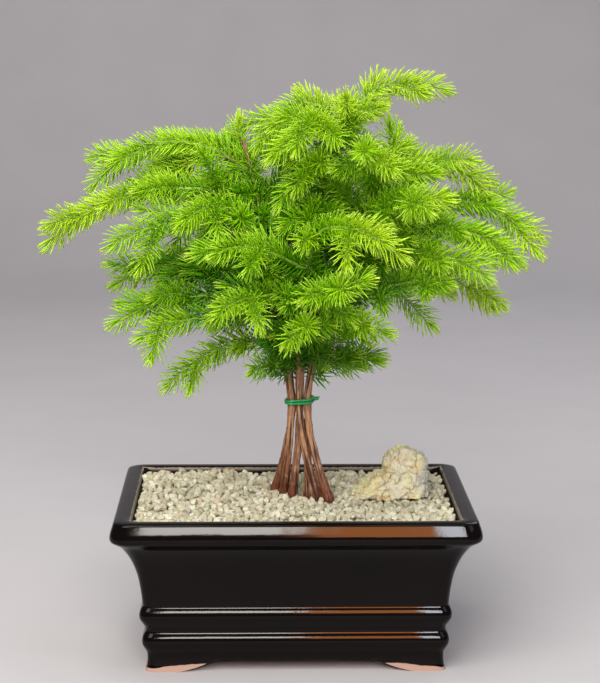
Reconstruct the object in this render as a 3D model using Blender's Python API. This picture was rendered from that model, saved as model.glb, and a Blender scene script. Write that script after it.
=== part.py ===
"""Norfolk island pine bonsai: six thin stems tied together, growing from gravel in a footed pot.

All sizes below are in millimetres; put() writes the meshes in metres.
X runs along the pot, Y from the front of the pot to its back, Z up; the pot's centre is at 0, 0.
"""
import math
import random

import bpy
import bmesh
from mathutils import Vector, kdtree
from mathutils.geometry import delaunay_2d_cdt

MM = 0.001
SEED = 11
CLEAR = 0.3

# Pot
RIM_LENGTH = 216.0
RIM_WIDTH = 160.0
POT_HEIGHT = 94.0
RIM_FLAT = 12.0
RIM_CORNER = 10.0
FLOOR_TOP = 17.0
FOOT_HEIGHT = 7.0
ARCH_LENGTH = 94.0
ARCH_WIDTH = 46.0
ARCH_SLOPE = 22.0
DRAIN_RADIUS = 8.0
DRAIN_OFFSET = 45.0

# Outside of the pot: how far it stands in from the rim's edge, and the height
OUTER_PROFILE = (
    (19.2, 0.0), (20.4, 5.0), (20.2, 11.0), (17.7, 16.6), (17.6, 20.6), (19.0, 25.2), (18.6, 28.8),
    (16.5, 32.6), (16.2, 36.4), (17.4, 41.0), (16.8, 50.0), (15.0, 60.0), (11.2, 70.0), (6.2, 77.8),
    (2.0, 81.4), (0.0, 84.8), (0.9, 89.2), (2.6, 92.9), (4.2, POT_HEIGHT),
)
# Inside of the pot, from the rim's inner edge down
INNER_PROFILE = (
    (RIM_FLAT, POT_HEIGHT), (13.2, 92.4), (20.0, 70.0), (25.0, 48.0), (27.5, FLOOR_TOP),
)

# Gravel
GRAVEL_TOP = 90.0
GRAVEL_EDGE = 14.4
GRAVEL_LUMP = 10.5
GRAVEL_BUMP = 2.3
LEVEL_ROUND_FOOT = 14.0
LEVEL_ROUND_ROCK = 11.0

# Rock standing in the gravel: a tall block and a low toe at its left
# Centre, size and the faces knocked off: heading, angle above level, distance from the middle
ROCK_BLOCKS = (
    ((68.8, 13.0), (27.0, 38.0, 31.2), (
        (180.0, 50.0, 16.8), (0.0, 24.0, 15.9), (270.0, 24.0, 12.8), (90.0, 30.0, 15.0),
        (315.0, 12.0, 17.5), (225.0, 15.0, 17.0), (45.0, 20.0, 17.5), (135.0, 20.0, 17.5),
        (300.0, 45.0, 16.0), (240.0, 42.0, 16.0), (205.0, 78.0, 17.4), (0.0, 71.0, 15.6),
    )),
    ((49.5, 8.0), (27.0, 34.0, 13.5), (
        (180.0, 58.0, 6.9), (180.0, 15.0, 12.3), (215.0, 20.0, 12.5), (150.0, 20.0, 13.0),
        (270.0, 40.0, 12.0), (240.0, 35.0, 12.5), (300.0, 30.0, 14.0), (90.0, 40.0, 12.5),
    )),
)

# The wire tie that gathers the stems, two rows of three
TIE_HEIGHT = 150.0
TIE_CENTRE = (3.2, 5.6)
TIE_TURN = 15.0
TIE_SPACING = 4.7
TIE_RADIUS = 1.9
TIE_WIRE = 0.95
TIE_STEPS = 12

# Stems: foot x, foot y, place at the tie (row, column), then points the stem passes above the tie
STEM_SIDES = 7
STEM_SPREAD = 1.6
STEM_RADII = (
    (90.0, 3.1), (95.0, 2.75), (110.0, 2.3), (130.0, 2.0), (150.0, TIE_RADIUS), (200.0, 1.6),
    (250.0, 1.3), (325.0, 0.9),
)
STEMS = {
    "left": (-11.5, 21.5, 1, -1, ((-5, 8, 185), (-14, 8, 240), (-26, 5, 290), (-31, 2, 308))),
    "left_front": (-6.0, 14.5, 0, -1, ((-7, 1, 185), (-15, -7, 215), (-25, -17, 243))),
    "front": (14.2, -2.0, 0, 0, ((2, -8, 185), (5, -24, 217), (8, -42, 243))),
    "middle": (-0.5, 7.4, 1, 0, ((7, 12, 211), (16, 14, 273), (30, 10, 308), (35, 8, 319))),
    "right": (21.5, -5.6, 0, 1, ((16, 1, 194), (34, -4, 248), (52, -6, 292))),
    "back": (8.6, 3.4, 1, 1, ((12, 20, 190), (15, 46, 252), (9, 60, 284))),
}

# Boughs: stem, height it leaves the stem (0 = the stem's top), heading, reach, height of its tip,
# rise of its arch, bare length of limb, longest side twig
BOUGHS = {
    "upper_left_arch": ("left", 292, 174, 99, 274, 23, 26, 26),
    "far_left": ("left", 270, -173, 132, 242, 22, 36, 30),
    "left_second": ("left", 254, -152, 108, 246, 13, 0, 28),
    "left_rear_high": ("left", 298, 140, 88, 276, 13, 0, 26),
    "left_top": ("left", 0, 175, 3, 327, 0, 0, 0),
    "left_front_high": ("left_front", 0, -128, 72, 260, 14, 0, 26),
    "left_behind": ("left_front", 229, 156, 104, 214, 12, 0, 30),
    "lower_left": ("left_front", 214, -174, 99, 196, 12, 30, 28),
    "lower_left_front": ("left_front", 206, -156, 92, 192, 9, 0, 18),
    "lowest_left": ("left_front", 188, -168, 75, 158, 9, 0, 16),
    "foot_left": ("left_front", 172, -122, 46, 173, 4, 0, 12),
    "front_left": ("front", 238, -142, 74, 246, 12, 0, 26),
    "front_left_low": ("front", 219, -126, 92, 214, 10, 0, 26),
    "front_low": ("front", 200, -88, 80, 208, 6, 0, 22),
    "front_foot": ("front", 184, -112, 58, 200, 4, 0, 16),
    "front_star": ("front", 226, -78, 100, 234, 6, 0, 24),
    "front_top": ("front", 0, -60, 86, 258, 6, 0, 28),
    "front_high": ("middle", 286, -108, 74, 280, 8, 0, 26),
    "front_middle": ("middle", 262, -96, 78, 256, 8, 0, 26),
    "right_star_low": ("right", 196, -74, 92, 208, 6, 0, 22),
    "right_front": ("right", 262, -66, 90, 270, 14, 0, 28),
    "right_front_high": ("right", 278, -98, 78, 302, 14, 0, 26),
    "foot_right": ("right", 171, 10, 48, 174, 6, 0, 14),
    "upper_right": ("right", 286, -3, 70, 268, 19, 0, 26),
    "right_top": ("right", 0, 20, 12, 320, 0, 0, 14),
    "far_right": ("right", 266, 5, 113, 245, 18, 34, 28),
    "right_second": ("right", 254, -14, 103, 234, 17, 30, 26),
    "right_third": ("right", 240, -34, 100, 229, 14, 0, 26),
    "right_droop": ("right", 229, 6, 98, 201, 17, 26, 24),
    "right_low": ("right", 214, -42, 94, 228, 10, 0, 24),
    "top_right_arch": ("middle", 0, -4, 61, 335, 8, 0, 20),
    "top_left_arch": ("middle", 310, -165, 58, 298, 20, 0, 26),
    "top_middle": ("middle", 314, -95, 48, 332, 8, 0, 24),
    "top_front": ("middle", 298, -108, 92, 302, 20, 0, 28),
    "top_rear": ("middle", 302, 80, 76, 308, 14, 0, 28),
    "back_top": ("back", 0, 118, 56, 306, 8, 0, 26),
    "back_right_high": ("back", 270, 40, 98, 284, 16, 24, 30),
    "back_left_high": ("back", 262, 148, 112, 262, 16, 0, 30),
    "back": ("back", 248, 92, 74, 250, 14, 0, 30),
    "back_right": ("back", 234, 18, 118, 236, 16, 0, 30),
    "back_left": ("back", 222, 140, 104, 218, 14, 0, 30),
    "back_low": ("back", 208, 84, 88, 200, 10, 0, 28),
}

# Twigs and needles
SIDE_STEP = 19.0
SIDE_FIRST = 15.0
SIDE_LAST = 13.0
SIDE_ANGLE = 50.0
SIDE_ROLL = 42.0
SIDE_DROOP = (-0.55, -0.10)
SIDE_SHARE = 0.62
SIDE_LEAST = 10.0
RING_STEP = 5.7
RING_TWIST = 13.0
TWIG_RADIUS = 1.0
NEEDLE_OUT = 7.5
NEEDLE_LEAN = 6.5
TIP_LENGTH = 8.0
TWIG_APART = 3.2
MASS_APART = 0.7
LIMB_APART = 0.9


def clear_scene():
    for item in list(bpy.data.objects):
        bpy.data.objects.remove(item, do_unlink=True)


def material(name, colour, roughness, coat=0.0):
    mat = bpy.data.materials.new(name)
    mat.use_nodes = True
    shader = mat.node_tree.nodes["Principled BSDF"]
    shader.inputs["Base Color"].default_value = (*colour, 1.0)
    shader.inputs["Roughness"].default_value = roughness
    shader.inputs["Coat Weight"].default_value = coat
    mat.diffuse_color = (*colour, 1.0)
    return mat


def put(name, verts, faces, mat):
    mesh = bpy.data.meshes.new(name)
    mesh.from_pydata([tuple(c * MM for c in v) for v in verts], [], faces)
    obj = bpy.data.objects.new(name, mesh)
    bpy.context.scene.collection.objects.link(obj)
    work = bmesh.new()
    work.from_mesh(mesh)
    bmesh.ops.triangulate(work, faces=work.faces)
    bmesh.ops.recalc_face_normals(work, faces=work.faces)
    work.to_mesh(mesh)
    work.free()
    mesh.materials.append(mat)
    return obj


def rounded_loop(length, width, corner, z, per_corner=4):
    loop = []
    for k, (sx, sy) in enumerate(((1, 1), (-1, 1), (-1, -1), (1, -1))):
        cx = sx * (length / 2 - corner)
        cy = sy * (width / 2 - corner)
        for step in range(per_corner):
            a = math.radians(90 * k + 90 * step / (per_corner - 1))
            loop.append(Vector((cx + corner * math.cos(a), cy + corner * math.sin(a), z)))
    return loop


def pot_loop(inset, z, shrink=0.0, per_corner=4):
    corner = max(RIM_CORNER - 0.25 * inset, 3.0)
    inset += shrink
    return rounded_loop(RIM_LENGTH - 2 * inset, RIM_WIDTH - 2 * inset, corner, z, per_corner)


def bridge(loops, cap_start=True, cap_end=True):
    verts = [v for loop in loops for v in loop]
    faces = []
    n = len(loops[0])
    for k in range(len(loops) - 1):
        for j in range(n):
            a, b = k * n + j, k * n + (j + 1) % n
            faces.append((a, b, b + n, a + n))
    if cap_start:
        faces.append(tuple(reversed(range(n))))
    if cap_end:
        faces.append(tuple(range((len(loops) - 1) * n, len(loops) * n)))
    return verts, faces


def boolean(obj, cutter, operation):
    mod = obj.modifiers.new("cut", "BOOLEAN")
    mod.operation = operation
    mod.object = cutter
    bpy.context.view_layer.objects.active = obj
    bpy.ops.object.modifier_apply(modifier=mod.name)
    bpy.data.objects.remove(cutter, do_unlink=True)


def arch_cutter(name, span, along, axis):
    """A low arch with sloping ends, long enough to pass right through the foot of the pot."""
    half = span / 2
    outline = [(-half - ARCH_SLOPE - 2.0, -1.0)]
    for share, rise in ((1.0, 0.0), (0.55, 0.34), (0.2, 0.76), (0.0, 1.0)):
        outline.append((-half - ARCH_SLOPE * share, FOOT_HEIGHT * rise))
    outline += [(-x, z) for x, z in reversed(outline)]
    verts = []
    for side in (-along, along):
        for x, z in outline:
            verts.append((x, side, z) if axis == "Y" else (side, x, z))
    n = len(outline)
    faces = [tuple(range(n)), tuple(reversed(range(n, 2 * n)))]
    faces += [(j, (j + 1) % n, n + (j + 1) % n, n + j) for j in range(n)]
    obj = put(name, verts, faces, MATERIALS["pot"])
    obj.hide_render = True
    obj.display_type = "WIRE"
    return obj


def make_pot():
    loops = [pot_loop(inset, z) for inset, z in OUTER_PROFILE + INNER_PROFILE]
    pot = put("pot", *bridge(loops), MATERIALS["pot"])
    boolean(pot, arch_cutter("arch_front_back", ARCH_LENGTH, RIM_WIDTH, "Y"), "DIFFERENCE")
    boolean(pot, arch_cutter("arch_left_right", ARCH_WIDTH, RIM_LENGTH, "X"), "DIFFERENCE")
    for side in (-1, 1):
        rings = []
        for z in (FOOT_HEIGHT - 3, FLOOR_TOP + 3):
            ring = [(side * DRAIN_OFFSET + DRAIN_RADIUS * math.cos(math.tau * k / 12),
                     DRAIN_RADIUS * math.sin(math.tau * k / 12), z) for k in range(12)]
            rings.append([Vector(p) for p in ring])
        drain = put("drain_cutter", *bridge(rings), MATERIALS["pot"])
        drain.hide_render = True
        drain.display_type = "WIRE"
        boolean(pot, drain, "DIFFERENCE")
    return pot


def level_ground(x, y):
    """True under and close to the stems' feet and the rock, where the gravel is level."""
    if min((Vector((x, y)) - Vector(row[:2])).length for row in STEMS.values()) < LEVEL_ROUND_FOOT:
        return True
    return any(abs(x - cx) < lx / 2 + LEVEL_ROUND_ROCK and abs(y - cy) < ly / 2 + LEVEL_ROUND_ROCK
               for (cx, cy), (lx, ly, lz), cuts in ROCK_BLOCKS)


def gravel_lumps(inset):
    """Points of the gravel's top in even rows inside the edge, some raised and some sunk."""
    rng = random.Random(SEED)
    half_x, half_y = RIM_LENGTH / 2 - inset, RIM_WIDTH / 2 - inset
    columns, rows = round(2 * half_x / GRAVEL_LUMP), round(2 * half_y / (GRAVEL_LUMP * 0.87))
    points = []
    for j in range(rows + 1):
        for i in range(columns + 1 - j % 2):
            x = -half_x + 2 * half_x * (i + 0.5 * (j % 2)) / columns + rng.uniform(-1.2, 1.2)
            y = -half_y + 2 * half_y * j / rows + rng.uniform(-1.2, 1.2)
            lump = rng.choice((-1, 1)) * rng.uniform(0.8, GRAVEL_BUMP)
            points.append(Vector((x, y, GRAVEL_TOP + (0.0 if level_ground(x, y) else lump))))
    return points


def make_gravel():
    """Fills the pot 0.3 mm clear of its wall; its top is lumpy like a layer of stones."""
    wall = [(inset, z) for inset, z in reversed(INNER_PROFILE) if z < GRAVEL_TOP - 2]
    wall[0] = (wall[0][0], FLOOR_TOP + CLEAR)
    wall.append((GRAVEL_EDGE, GRAVEL_TOP - 1.5))
    loops = [rounded_fine(inset + CLEAR + 0.15, z) for inset, z in wall]
    verts, faces = bridge(loops, cap_end=False)
    first = len(verts) - len(loops[-1])
    verts += gravel_lumps(GRAVEL_EDGE + 6.0)
    edge = list(range(len(loops[-1])))
    found = delaunay_2d_cdt([v.xy for v in verts[first:]], [], [edge], 1, 0.01)
    came_from = [first + sources[0] for sources in found[3]]
    faces += [tuple(came_from[i] for i in face) for face in found[2]]
    return put("gravel_bed", verts, faces, MATERIALS["gravel"])


def rounded_fine(inset, z):
    """The pot's loop with its sides divided, so the gravel's top can be uneven."""
    corners = pot_loop(inset, z, per_corner=3)
    loop = []
    for j, p in enumerate(corners):
        q = corners[(j + 1) % len(corners)]
        parts = {2: 5, 5: 3, 8: 5, 11: 3}.get(j, 1)
        for k in range(parts):
            loop.append(p.lerp(q, k / parts))
    return loop


def rock_block(centre, size, cuts):
    """A block that stands on the gravel, with faces knocked off it by planes."""
    cx, cy = centre
    lx, ly, lz = size
    base = GRAVEL_TOP + CLEAR
    middle = Vector((cx, cy, base + lz * 0.38))
    work = bmesh.new()
    bmesh.ops.create_cube(work, size=1.0)
    for v in work.verts:
        v.co = Vector((cx + v.co.x * lx, cy + v.co.y * ly, base + (v.co.z + 0.5) * lz))
    for heading, rise, distance in cuts:
        h, r = math.radians(heading), math.radians(rise)
        normal = Vector((math.cos(h) * math.cos(r), math.sin(h) * math.cos(r), math.sin(r)))
        geom = work.verts[:] + work.edges[:] + work.faces[:]
        cut = bmesh.ops.bisect_plane(work, geom=geom, plane_co=middle + normal * distance,
                                     plane_no=normal, clear_outer=True)
        edges = [e for e in cut["geom_cut"] if isinstance(e, bmesh.types.BMEdge)]
        if edges:
            bmesh.ops.contextual_create(work, geom=edges)
    bmesh.ops.remove_doubles(work, verts=work.verts, dist=0.05)
    verts = [v.co.copy() for v in work.verts]
    work.verts.index_update()
    faces = [tuple(v.index for v in f.verts) for f in work.faces]
    work.free()
    return put("rock_block", verts, faces, MATERIALS["rock"])


def make_rock():
    return fuse("rock", [rock_block(*block) for block in ROCK_BLOCKS])


def smooth_path(points, step):
    """A smooth curve through the points, cut into even steps."""
    pts = [Vector(p) for p in points]
    pts = [2 * pts[0] - pts[1]] + pts + [2 * pts[-1] - pts[-2]]
    dense = []
    for i in range(1, len(pts) - 2):
        a, b, c, d = pts[i - 1:i + 3]
        for k in range(40):
            t = k / 40
            dense.append(0.5 * (2 * b + (c - a) * t + (2 * a - 5 * b + 4 * c - d) * t * t
                                + (3 * b - a - 3 * c + d) * t ** 3))
    dense.append(pts[-2])
    return even_steps(dense, step)


def even_steps(dense, step):
    lengths = [0.0]
    for a, b in zip(dense, dense[1:]):
        lengths.append(lengths[-1] + (b - a).length)
    count = max(1, round(lengths[-1] / step))
    out = []
    i = 0
    for k in range(count + 1):
        want = lengths[-1] * k / count
        while i < len(dense) - 2 and lengths[i + 1] < want:
            i += 1
        span = lengths[i + 1] - lengths[i]
        t = 0.0 if span < 1e-9 else min(1.0, (want - lengths[i]) / span)
        out.append(dense[i].lerp(dense[i + 1], t))
    return out


def cut_path(path, start, end=None):
    """The part of a path between two lengths along it."""
    out = []
    run = 0.0
    for a, b in zip(path, path[1:]):
        span = (b - a).length
        if not out and run + span > start:
            out.append(a.lerp(b, (start - run) / span))
        if end is not None and run + span >= end:
            out.append(a.lerp(b, (end - run) / span))
            return out
        if out:
            out.append(b.copy())
        run += span
    return out


def tangents(path):
    out = []
    for k in range(len(path)):
        a = path[max(k - 1, 0)]
        b = path[min(k + 1, len(path) - 1)]
        out.append((b - a).normalized())
    return out


def frames(path, line):
    """Directions along and square to the path at each point; its two ends follow the finer line."""
    ts = tangents(path)
    ts[0] = (line[1] - line[0]).normalized()
    ts[-1] = (line[-1] - line[-2]).normalized()
    side = ts[0].cross(Vector((0, 0, 1)))
    if side.length < 0.2:
        side = ts[0].cross(Vector((0, 1, 0)))
    side.normalize()
    out = []
    for t in ts:
        side = (side - t * side.dot(t)).normalized()
        out.append((t, side, t.cross(side)))
    return out


def tube(name, path, line, radii, sides, mat, flat_foot=False):
    loops = []
    for k, (p, (t, u, v)) in enumerate(zip(path, frames(path, line))):
        if flat_foot and k == 0:
            u = Vector((u.x, u.y, 0)).normalized()
            v = Vector((0, 0, 1)).cross(u)
        loop = []
        for j in range(sides):
            a = math.tau * j / sides
            loop.append(p + (u * math.cos(a) + v * math.sin(a)) * radii[k])
        loops.append(loop)
    return put(name, *bridge(loops), mat)


def interpolate(table, z):
    for (z0, r0), (z1, r1) in zip(table, table[1:]):
        if z <= z1:
            return r0 + (r1 - r0) * max(0.0, (z - z0) / (z1 - z0))
    return table[-1][1]


def tie_place(row, column):
    turn = math.radians(TIE_TURN)
    along = TIE_SPACING * (column + (0.25 if row else -0.25))
    across = TIE_SPACING * 0.49 * (1 if row else -1)
    x = TIE_CENTRE[0] + along * math.cos(turn) - across * math.sin(turn)
    y = TIE_CENTRE[1] + along * math.sin(turn) + across * math.cos(turn)
    return x, y


def stem_stations(name):
    """The stem's rings: straight from foot to tie, then a smooth curve into the crown."""
    foot_x, foot_y, row, column, above = STEMS[name]
    x, y = tie_place(row, column)
    foot = Vector((foot_x, foot_y, GRAVEL_TOP + CLEAR))
    tie = Vector((x, y, TIE_HEIGHT))
    lower = []
    for share in (0.0, 0.07, 0.2, 0.4, 0.65, 0.93):
        spread = (1 - share) ** STEM_SPREAD
        lower.append(Vector((x + (foot_x - x) * spread, y + (foot_y - y) * spread,
                             foot.z + (tie.z - foot.z) * share)))
    return lower + even_steps(smooth_path([tie] + [Vector(p) for p in above], 1.0), 17.0)


def make_stem(name):
    path = STATIONS[name]
    radii = [interpolate(STEM_RADII, p.z) for p in path]
    return tube("stem_" + name, path, path, radii, STEM_SIDES, MATERIALS["bark"], flat_foot=True)


def make_tie():
    """Two turns of wire round the bundle and a short twisted end."""
    reach = TIE_RADIUS + CLEAR + TIE_WIRE + 0.4
    centres = [Vector(tie_place(row, column)) for row, column in ((0, -1), (0, 1), (1, 1), (1, -1))]
    ring = []
    for k in range(TIE_STEPS):
        a = math.tau * k / TIE_STEPS
        out = Vector((math.cos(a), math.sin(a)))
        ring.append(max(centres, key=lambda c: c.dot(out)) + out * reach)
    pieces = []
    for turn in (-1, 1):
        z = TIE_HEIGHT + turn * TIE_WIRE * 0.85
        loops = []
        for k, p in enumerate(ring):
            before, after = ring[k - 1], ring[(k + 1) % len(ring)]
            out = Vector((after.y - before.y, before.x - after.x)).normalized()
            loop = []
            for j in range(5):
                a = math.tau * j / 5
                shift = out * math.cos(a) * TIE_WIRE
                loop.append(Vector((p.x + shift.x, p.y + shift.y, z + math.sin(a) * TIE_WIRE)))
            loops.append(loop)
        verts, faces = bridge(loops, cap_start=False, cap_end=False)
        n = len(verts)
        for j in range(5):
            faces.append((n - 5 + j, n - 5 + (j + 1) % 5, (j + 1) % 5, j))
        pieces.append(put("tie_turn", verts, faces, MATERIALS["tie"]))
    right = max(ring, key=lambda p: p.x)
    tail = [Vector((right.x + dx, right.y + dy, TIE_HEIGHT + dz))
            for dx, dy, dz in ((-0.6, 0.0, 0.0), (2.2, -0.7, 0.3), (3.8, -1.7, 0.9))]
    tail = smooth_path(tail, 1.8)
    pieces.append(tube("tie_tail", tail, tail, [1.25] * len(tail), 6, MATERIALS["tie"]))
    return fuse("tie_wire", pieces)


def bough_path(name):
    """From its stem (or the stem's top), out along the heading and over an arch to its tip."""
    stem, leave, heading, reach, tip_z, arch, bare, side = BOUGHS[name]
    stem_line = PATHS[stem]
    ts = tangents(stem_line)
    h = math.radians(heading)
    out = Vector((math.cos(h), math.sin(h), 0.0))
    if leave:
        k = min(range(len(stem_line)), key=lambda i: abs(stem_line[i].z - leave))
        origin = stem_line[k]
        first = (out - ts[k] * out.dot(ts[k])).normalized()
        start = origin + first * (interpolate(STEM_RADII, origin.z) + CLEAR)
    else:
        origin = stem_line[-1]
        first = ts[-1]
        start = origin + first * CLEAR
    tip = Vector((origin.x + out.x * reach, origin.y + out.y * reach, tip_z))
    knee = start + first * 3.0
    span = (tip - knee).length
    lift = Vector((0, 0, arch * 1.4))
    near = knee + first * (0.30 * span) + lift
    far = tip - (tip - knee).normalized() * (0.26 * span) + lift
    dense = [start.lerp(knee, k / 4) for k in range(4)]
    for k in range(81):
        t = k / 80
        s = 1 - t
        dense.append(knee * s ** 3 + near * (3 * t * s * s) + far * (3 * t * t * s) + tip * t ** 3)
    return even_steps(cut_path(dense, 0.0, path_length(dense) - TIP_LENGTH), 1.0)


def bough_radius(name, run):
    """Thickness of a bough's woody part at a length along it."""
    total = path_length(BOUGH_PATHS[name])
    return 0.85 + 0.75 * (1 - run / total) * min(1.0, total / 100)


def path_length(path):
    return sum((b - a).length for a, b in zip(path, path[1:]))


def make_bough(name):
    bare = BOUGHS[name][6]
    line = cut_path(BOUGH_PATHS[name], 0.0, bare)
    path = [line[0], line[2]] + even_steps(line[2:], 11.0)[1:]
    radii = [bough_radius(name, bare * k / (len(path) - 1)) for k in range(len(path))]
    return tube("bough_" + name, path, line, radii, 6, MATERIALS["bark"])


def side_twigs(name):
    """Side twigs leave the main twig left and right in turn and shorten toward its tip."""
    rng = random.Random(name)
    longest = BOUGHS[name][7]
    main = MAIN_TWIGS[name]
    total = path_length(main)
    twigs = []
    if longest == 0:
        return twigs
    count = max(0, int((total - SIDE_FIRST - SIDE_LAST) / SIDE_STEP) + 1)
    hand = rng.choice((-1, 1))
    ts = tangents(main)
    for k in range(count):
        run = SIDE_FIRST + SIDE_STEP * k + rng.uniform(-2.0, 2.0)
        i = min(len(main) - 2, max(1, round(run)))
        t = ts[i]
        across = t.cross(Vector((0, 0, 1)))
        if across.length < 0.3:
            across = t.cross(Vector((0, 1, 0)))
        across.normalize()
        up = across.cross(t)
        roll = math.radians(rng.uniform(-SIDE_ROLL, SIDE_ROLL) + (50 if total < 30 else 0))
        across = across * math.cos(roll) + up * math.sin(roll)
        a = math.radians(SIDE_ANGLE + rng.uniform(-6, 6))
        way = t * math.cos(a) + across * (hand * math.sin(a))
        length = min(longest, 8.0 + SIDE_SHARE * (total - run)) * rng.uniform(0.85, 1.1)
        bend = t * (0.35 * length) + Vector((0, 0, rng.uniform(*SIDE_DROOP) * length))
        start = main[i]
        dense = []
        for j in range(21):
            s = j / 20
            dense.append(start + way * (length * s) + bend * (s * s * 0.5))
        twigs.append(even_steps(dense, 1.0))
        hand = -hand
    return twigs


def limb_samples():
    """Points along every bare limb, each with the radius there."""
    out = []
    for name, path in PATHS.items():
        out += [(p, interpolate(STEM_RADII, p.z)) for p in path]
    for name, row in BOUGHS.items():
        if row[6]:
            path = cut_path(BOUGH_PATHS[name], 0.0, row[6])
            out += [(p, bough_radius(name, k)) for k, p in enumerate(path)]
    return out


def tree_of(points):
    tree = kdtree.KDTree(len(points))
    for k, p in enumerate(points):
        tree.insert(p, k)
    tree.balance()
    return tree


def free_run(twig, name, index, owners, limb_tree, limbs):
    """How many points of a side twig stay clear of other masses and of the limbs."""
    for k, p in enumerate(twig):
        if k < 3:
            continue
        for co, i, d in index.find_range(p, TWIG_APART):
            if owners[i] != name:
                return k
        co, i, d = limb_tree.find(p)
        if d < limbs[i][1] + TWIG_RADIUS + 1.6:
            return k
    return len(twig)


def choose_twigs():
    """Keeps the side twigs that stay in their own mass's space, cutting short the ones that leave it."""
    limbs = limb_samples()
    limb_tree = tree_of([p for p, r in limbs])
    kept = {name: [main] for name, main in MAIN_TWIGS.items()}
    for turn in range(8):
        points = [(p, name) for name, twigs in kept.items() for twig in twigs for p in twig]
        index = tree_of([p for p, owner in points])
        owners = [owner for p, owner in points]
        added = []
        for name in BOUGHS:
            if turn >= len(SIDES[name]):
                continue
            twig = SIDES[name][turn]
            run = free_run(twig, name, index, owners, limb_tree, limbs)
            if added:
                fresh = tree_of([p for p, owner in added])
                run = min(run, free_run(twig, name, fresh, [o for p, o in added], limb_tree, limbs))
            if run >= SIDE_LEAST:
                twig = twig[:run]
                kept[name].append(twig)
                added += [(p, name) for p in twig]
    return kept


def own_reach(point, root, name, space):
    """Draws a needle's tip back toward its twig until it is inside the mass's own space."""
    own, others, limb_tree, limbs = space
    for share in (1.0, 0.85, 0.7, 0.55, 0.4, 0.28, 0.16, 0.06):
        p = root + (point - root) * share
        near_own = own.find(p)[2]
        near_other = others.find(p)[2]
        co, i, d = limb_tree.find(p)
        if near_other - near_own > 2 * MASS_APART and d > limbs[i][1] + LIMB_APART:
            return p
    return root + (point - root) * 0.02


def spray(name, twig, start_radius, bare_rings, space):
    """One twig with its needles: a slim four-cornered core whose corners stand out as needles by turns."""
    path = even_steps(twig, RING_STEP)
    rings = []
    last = len(path) - 1
    for k, (p, (t, u, v)) in enumerate(zip(path, frames(path, twig))):
        taper = 1.0 - 0.3 * k / last
        core = (start_radius if k == 0 else TWIG_RADIUS) * taper
        ring = []
        for j in range(4):
            a = math.radians(90 * j + RING_TWIST * k)
            out = u * math.cos(a) + v * math.sin(a)
            root = p + out * core
            if (j + k) % 2 == 0 and k >= bare_rings:
                forward = min(1.0, 0.55 + 0.15 * (last - k))
                tip = root + out * (NEEDLE_OUT * forward) + t * NEEDLE_LEAN
                root = own_reach(tip, root, name, space)
            ring.append(root)
        rings.append(ring)
    end_t = tangents(path)[-1]
    apex = own_reach(path[-1] + end_t * TIP_LENGTH, path[-1] + end_t * 0.6, name, space)
    verts = [v for ring in rings for v in ring] + [apex]
    faces = [(3, 2, 1, 0)]
    for k in range(last):
        for j in range(4):
            a, b = 4 * k + j, 4 * k + (j + 1) % 4
            c, d = b + 4, a + 4
            if (j + k) % 2 == 0:
                faces += [(a, b, d), (b, c, d)]
            else:
                faces += [(a, b, c), (a, c, d)]
    for j in range(4):
        faces.append((4 * last + j, 4 * last + (j + 1) % 4, len(verts) - 1))
    return put(name + "_twig", verts, faces, MATERIALS["foliage"])


def shells(work):
    """The separate closed skins of a mesh."""
    left = set(work.faces)
    out = []
    while left:
        first = left.pop()
        group = {first}
        queue = [first]
        while queue:
            face = queue.pop()
            for edge in face.edges:
                for other in edge.link_faces:
                    if other in left:
                        left.remove(other)
                        group.add(other)
                        queue.append(other)
        out.append(group)
    return out


def shell_volume(group):
    total = 0.0
    for face in group:
        a, b, c = (v.co for v in face.verts)
        total += a.dot(b.cross(c)) / 6
    return total


def closed(obj):
    work = bmesh.new()
    work.from_mesh(obj.data)
    good = len(work.faces) > 0 and all(edge.is_manifold for edge in work.edges)
    work.free()
    return good


def tidy(obj, join):
    """Joins doubled points, drops loose scrap and fills hollows sealed by the fusing."""
    work = bmesh.new()
    work.from_mesh(obj.data)
    if join > 0:
        bmesh.ops.remove_doubles(work, verts=work.verts, dist=join)
        bmesh.ops.dissolve_degenerate(work, edges=work.edges, dist=join)
    bmesh.ops.triangulate(work, faces=work.faces)
    groups = shells(work)
    if len(groups) > 1:
        biggest = max(groups, key=lambda g: abs(shell_volume(g)))
        scrap = [f for g in groups if g is not biggest for f in g]
        bmesh.ops.delete(work, geom=scrap, context="FACES")
        loose = [v for v in work.verts if not v.link_faces]
        bmesh.ops.delete(work, geom=loose, context="VERTS")
    work.to_mesh(obj.data)
    work.free()


def fuse(name, pieces):
    """Joins the pieces into one solid with a single Boolean union."""
    base = pieces[0]
    single = base.data.copy()
    group = bpy.data.collections.new(name + "_pieces")
    for piece in pieces[1:]:
        group.objects.link(piece)
    for solver in ("EXACT", "MANIFOLD"):
        if len(pieces) > 1:
            mod = base.modifiers.new("join", "BOOLEAN")
            mod.operation = "UNION"
            mod.operand_type = "COLLECTION"
            mod.collection = group
            mod.solver = solver
            bpy.context.view_layer.objects.active = base
            bpy.ops.object.modifier_apply(modifier=mod.name)
        joined = base.data.copy()
        for join in (0.00001, 0.000001, 0.0):
            base.data = joined.copy()
            tidy(base, join)
            if closed(base):
                break
        if closed(base):
            break
        base.data = single.copy()
    for piece in pieces[1:]:
        bpy.data.objects.remove(piece, do_unlink=True)
    bpy.data.collections.remove(group)
    base.name = name
    base.data.name = name
    return base


def make_mass(name, twigs, points):
    own = tree_of([p for p, owner in points if owner == name])
    others = tree_of([p for p, owner in points if owner != name])
    limbs = limb_samples()
    space = (own, others, tree_of([p for p, r in limbs]), limbs)
    start = bough_radius(name, BOUGHS[name][6])
    pieces = []
    for k, twig in enumerate(twigs):
        radius = start if k == 0 else 0.7
        pieces.append(spray(name, twig, radius, 1 if k == 0 else 2, space))
    return fuse("foliage_" + name, pieces)


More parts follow.
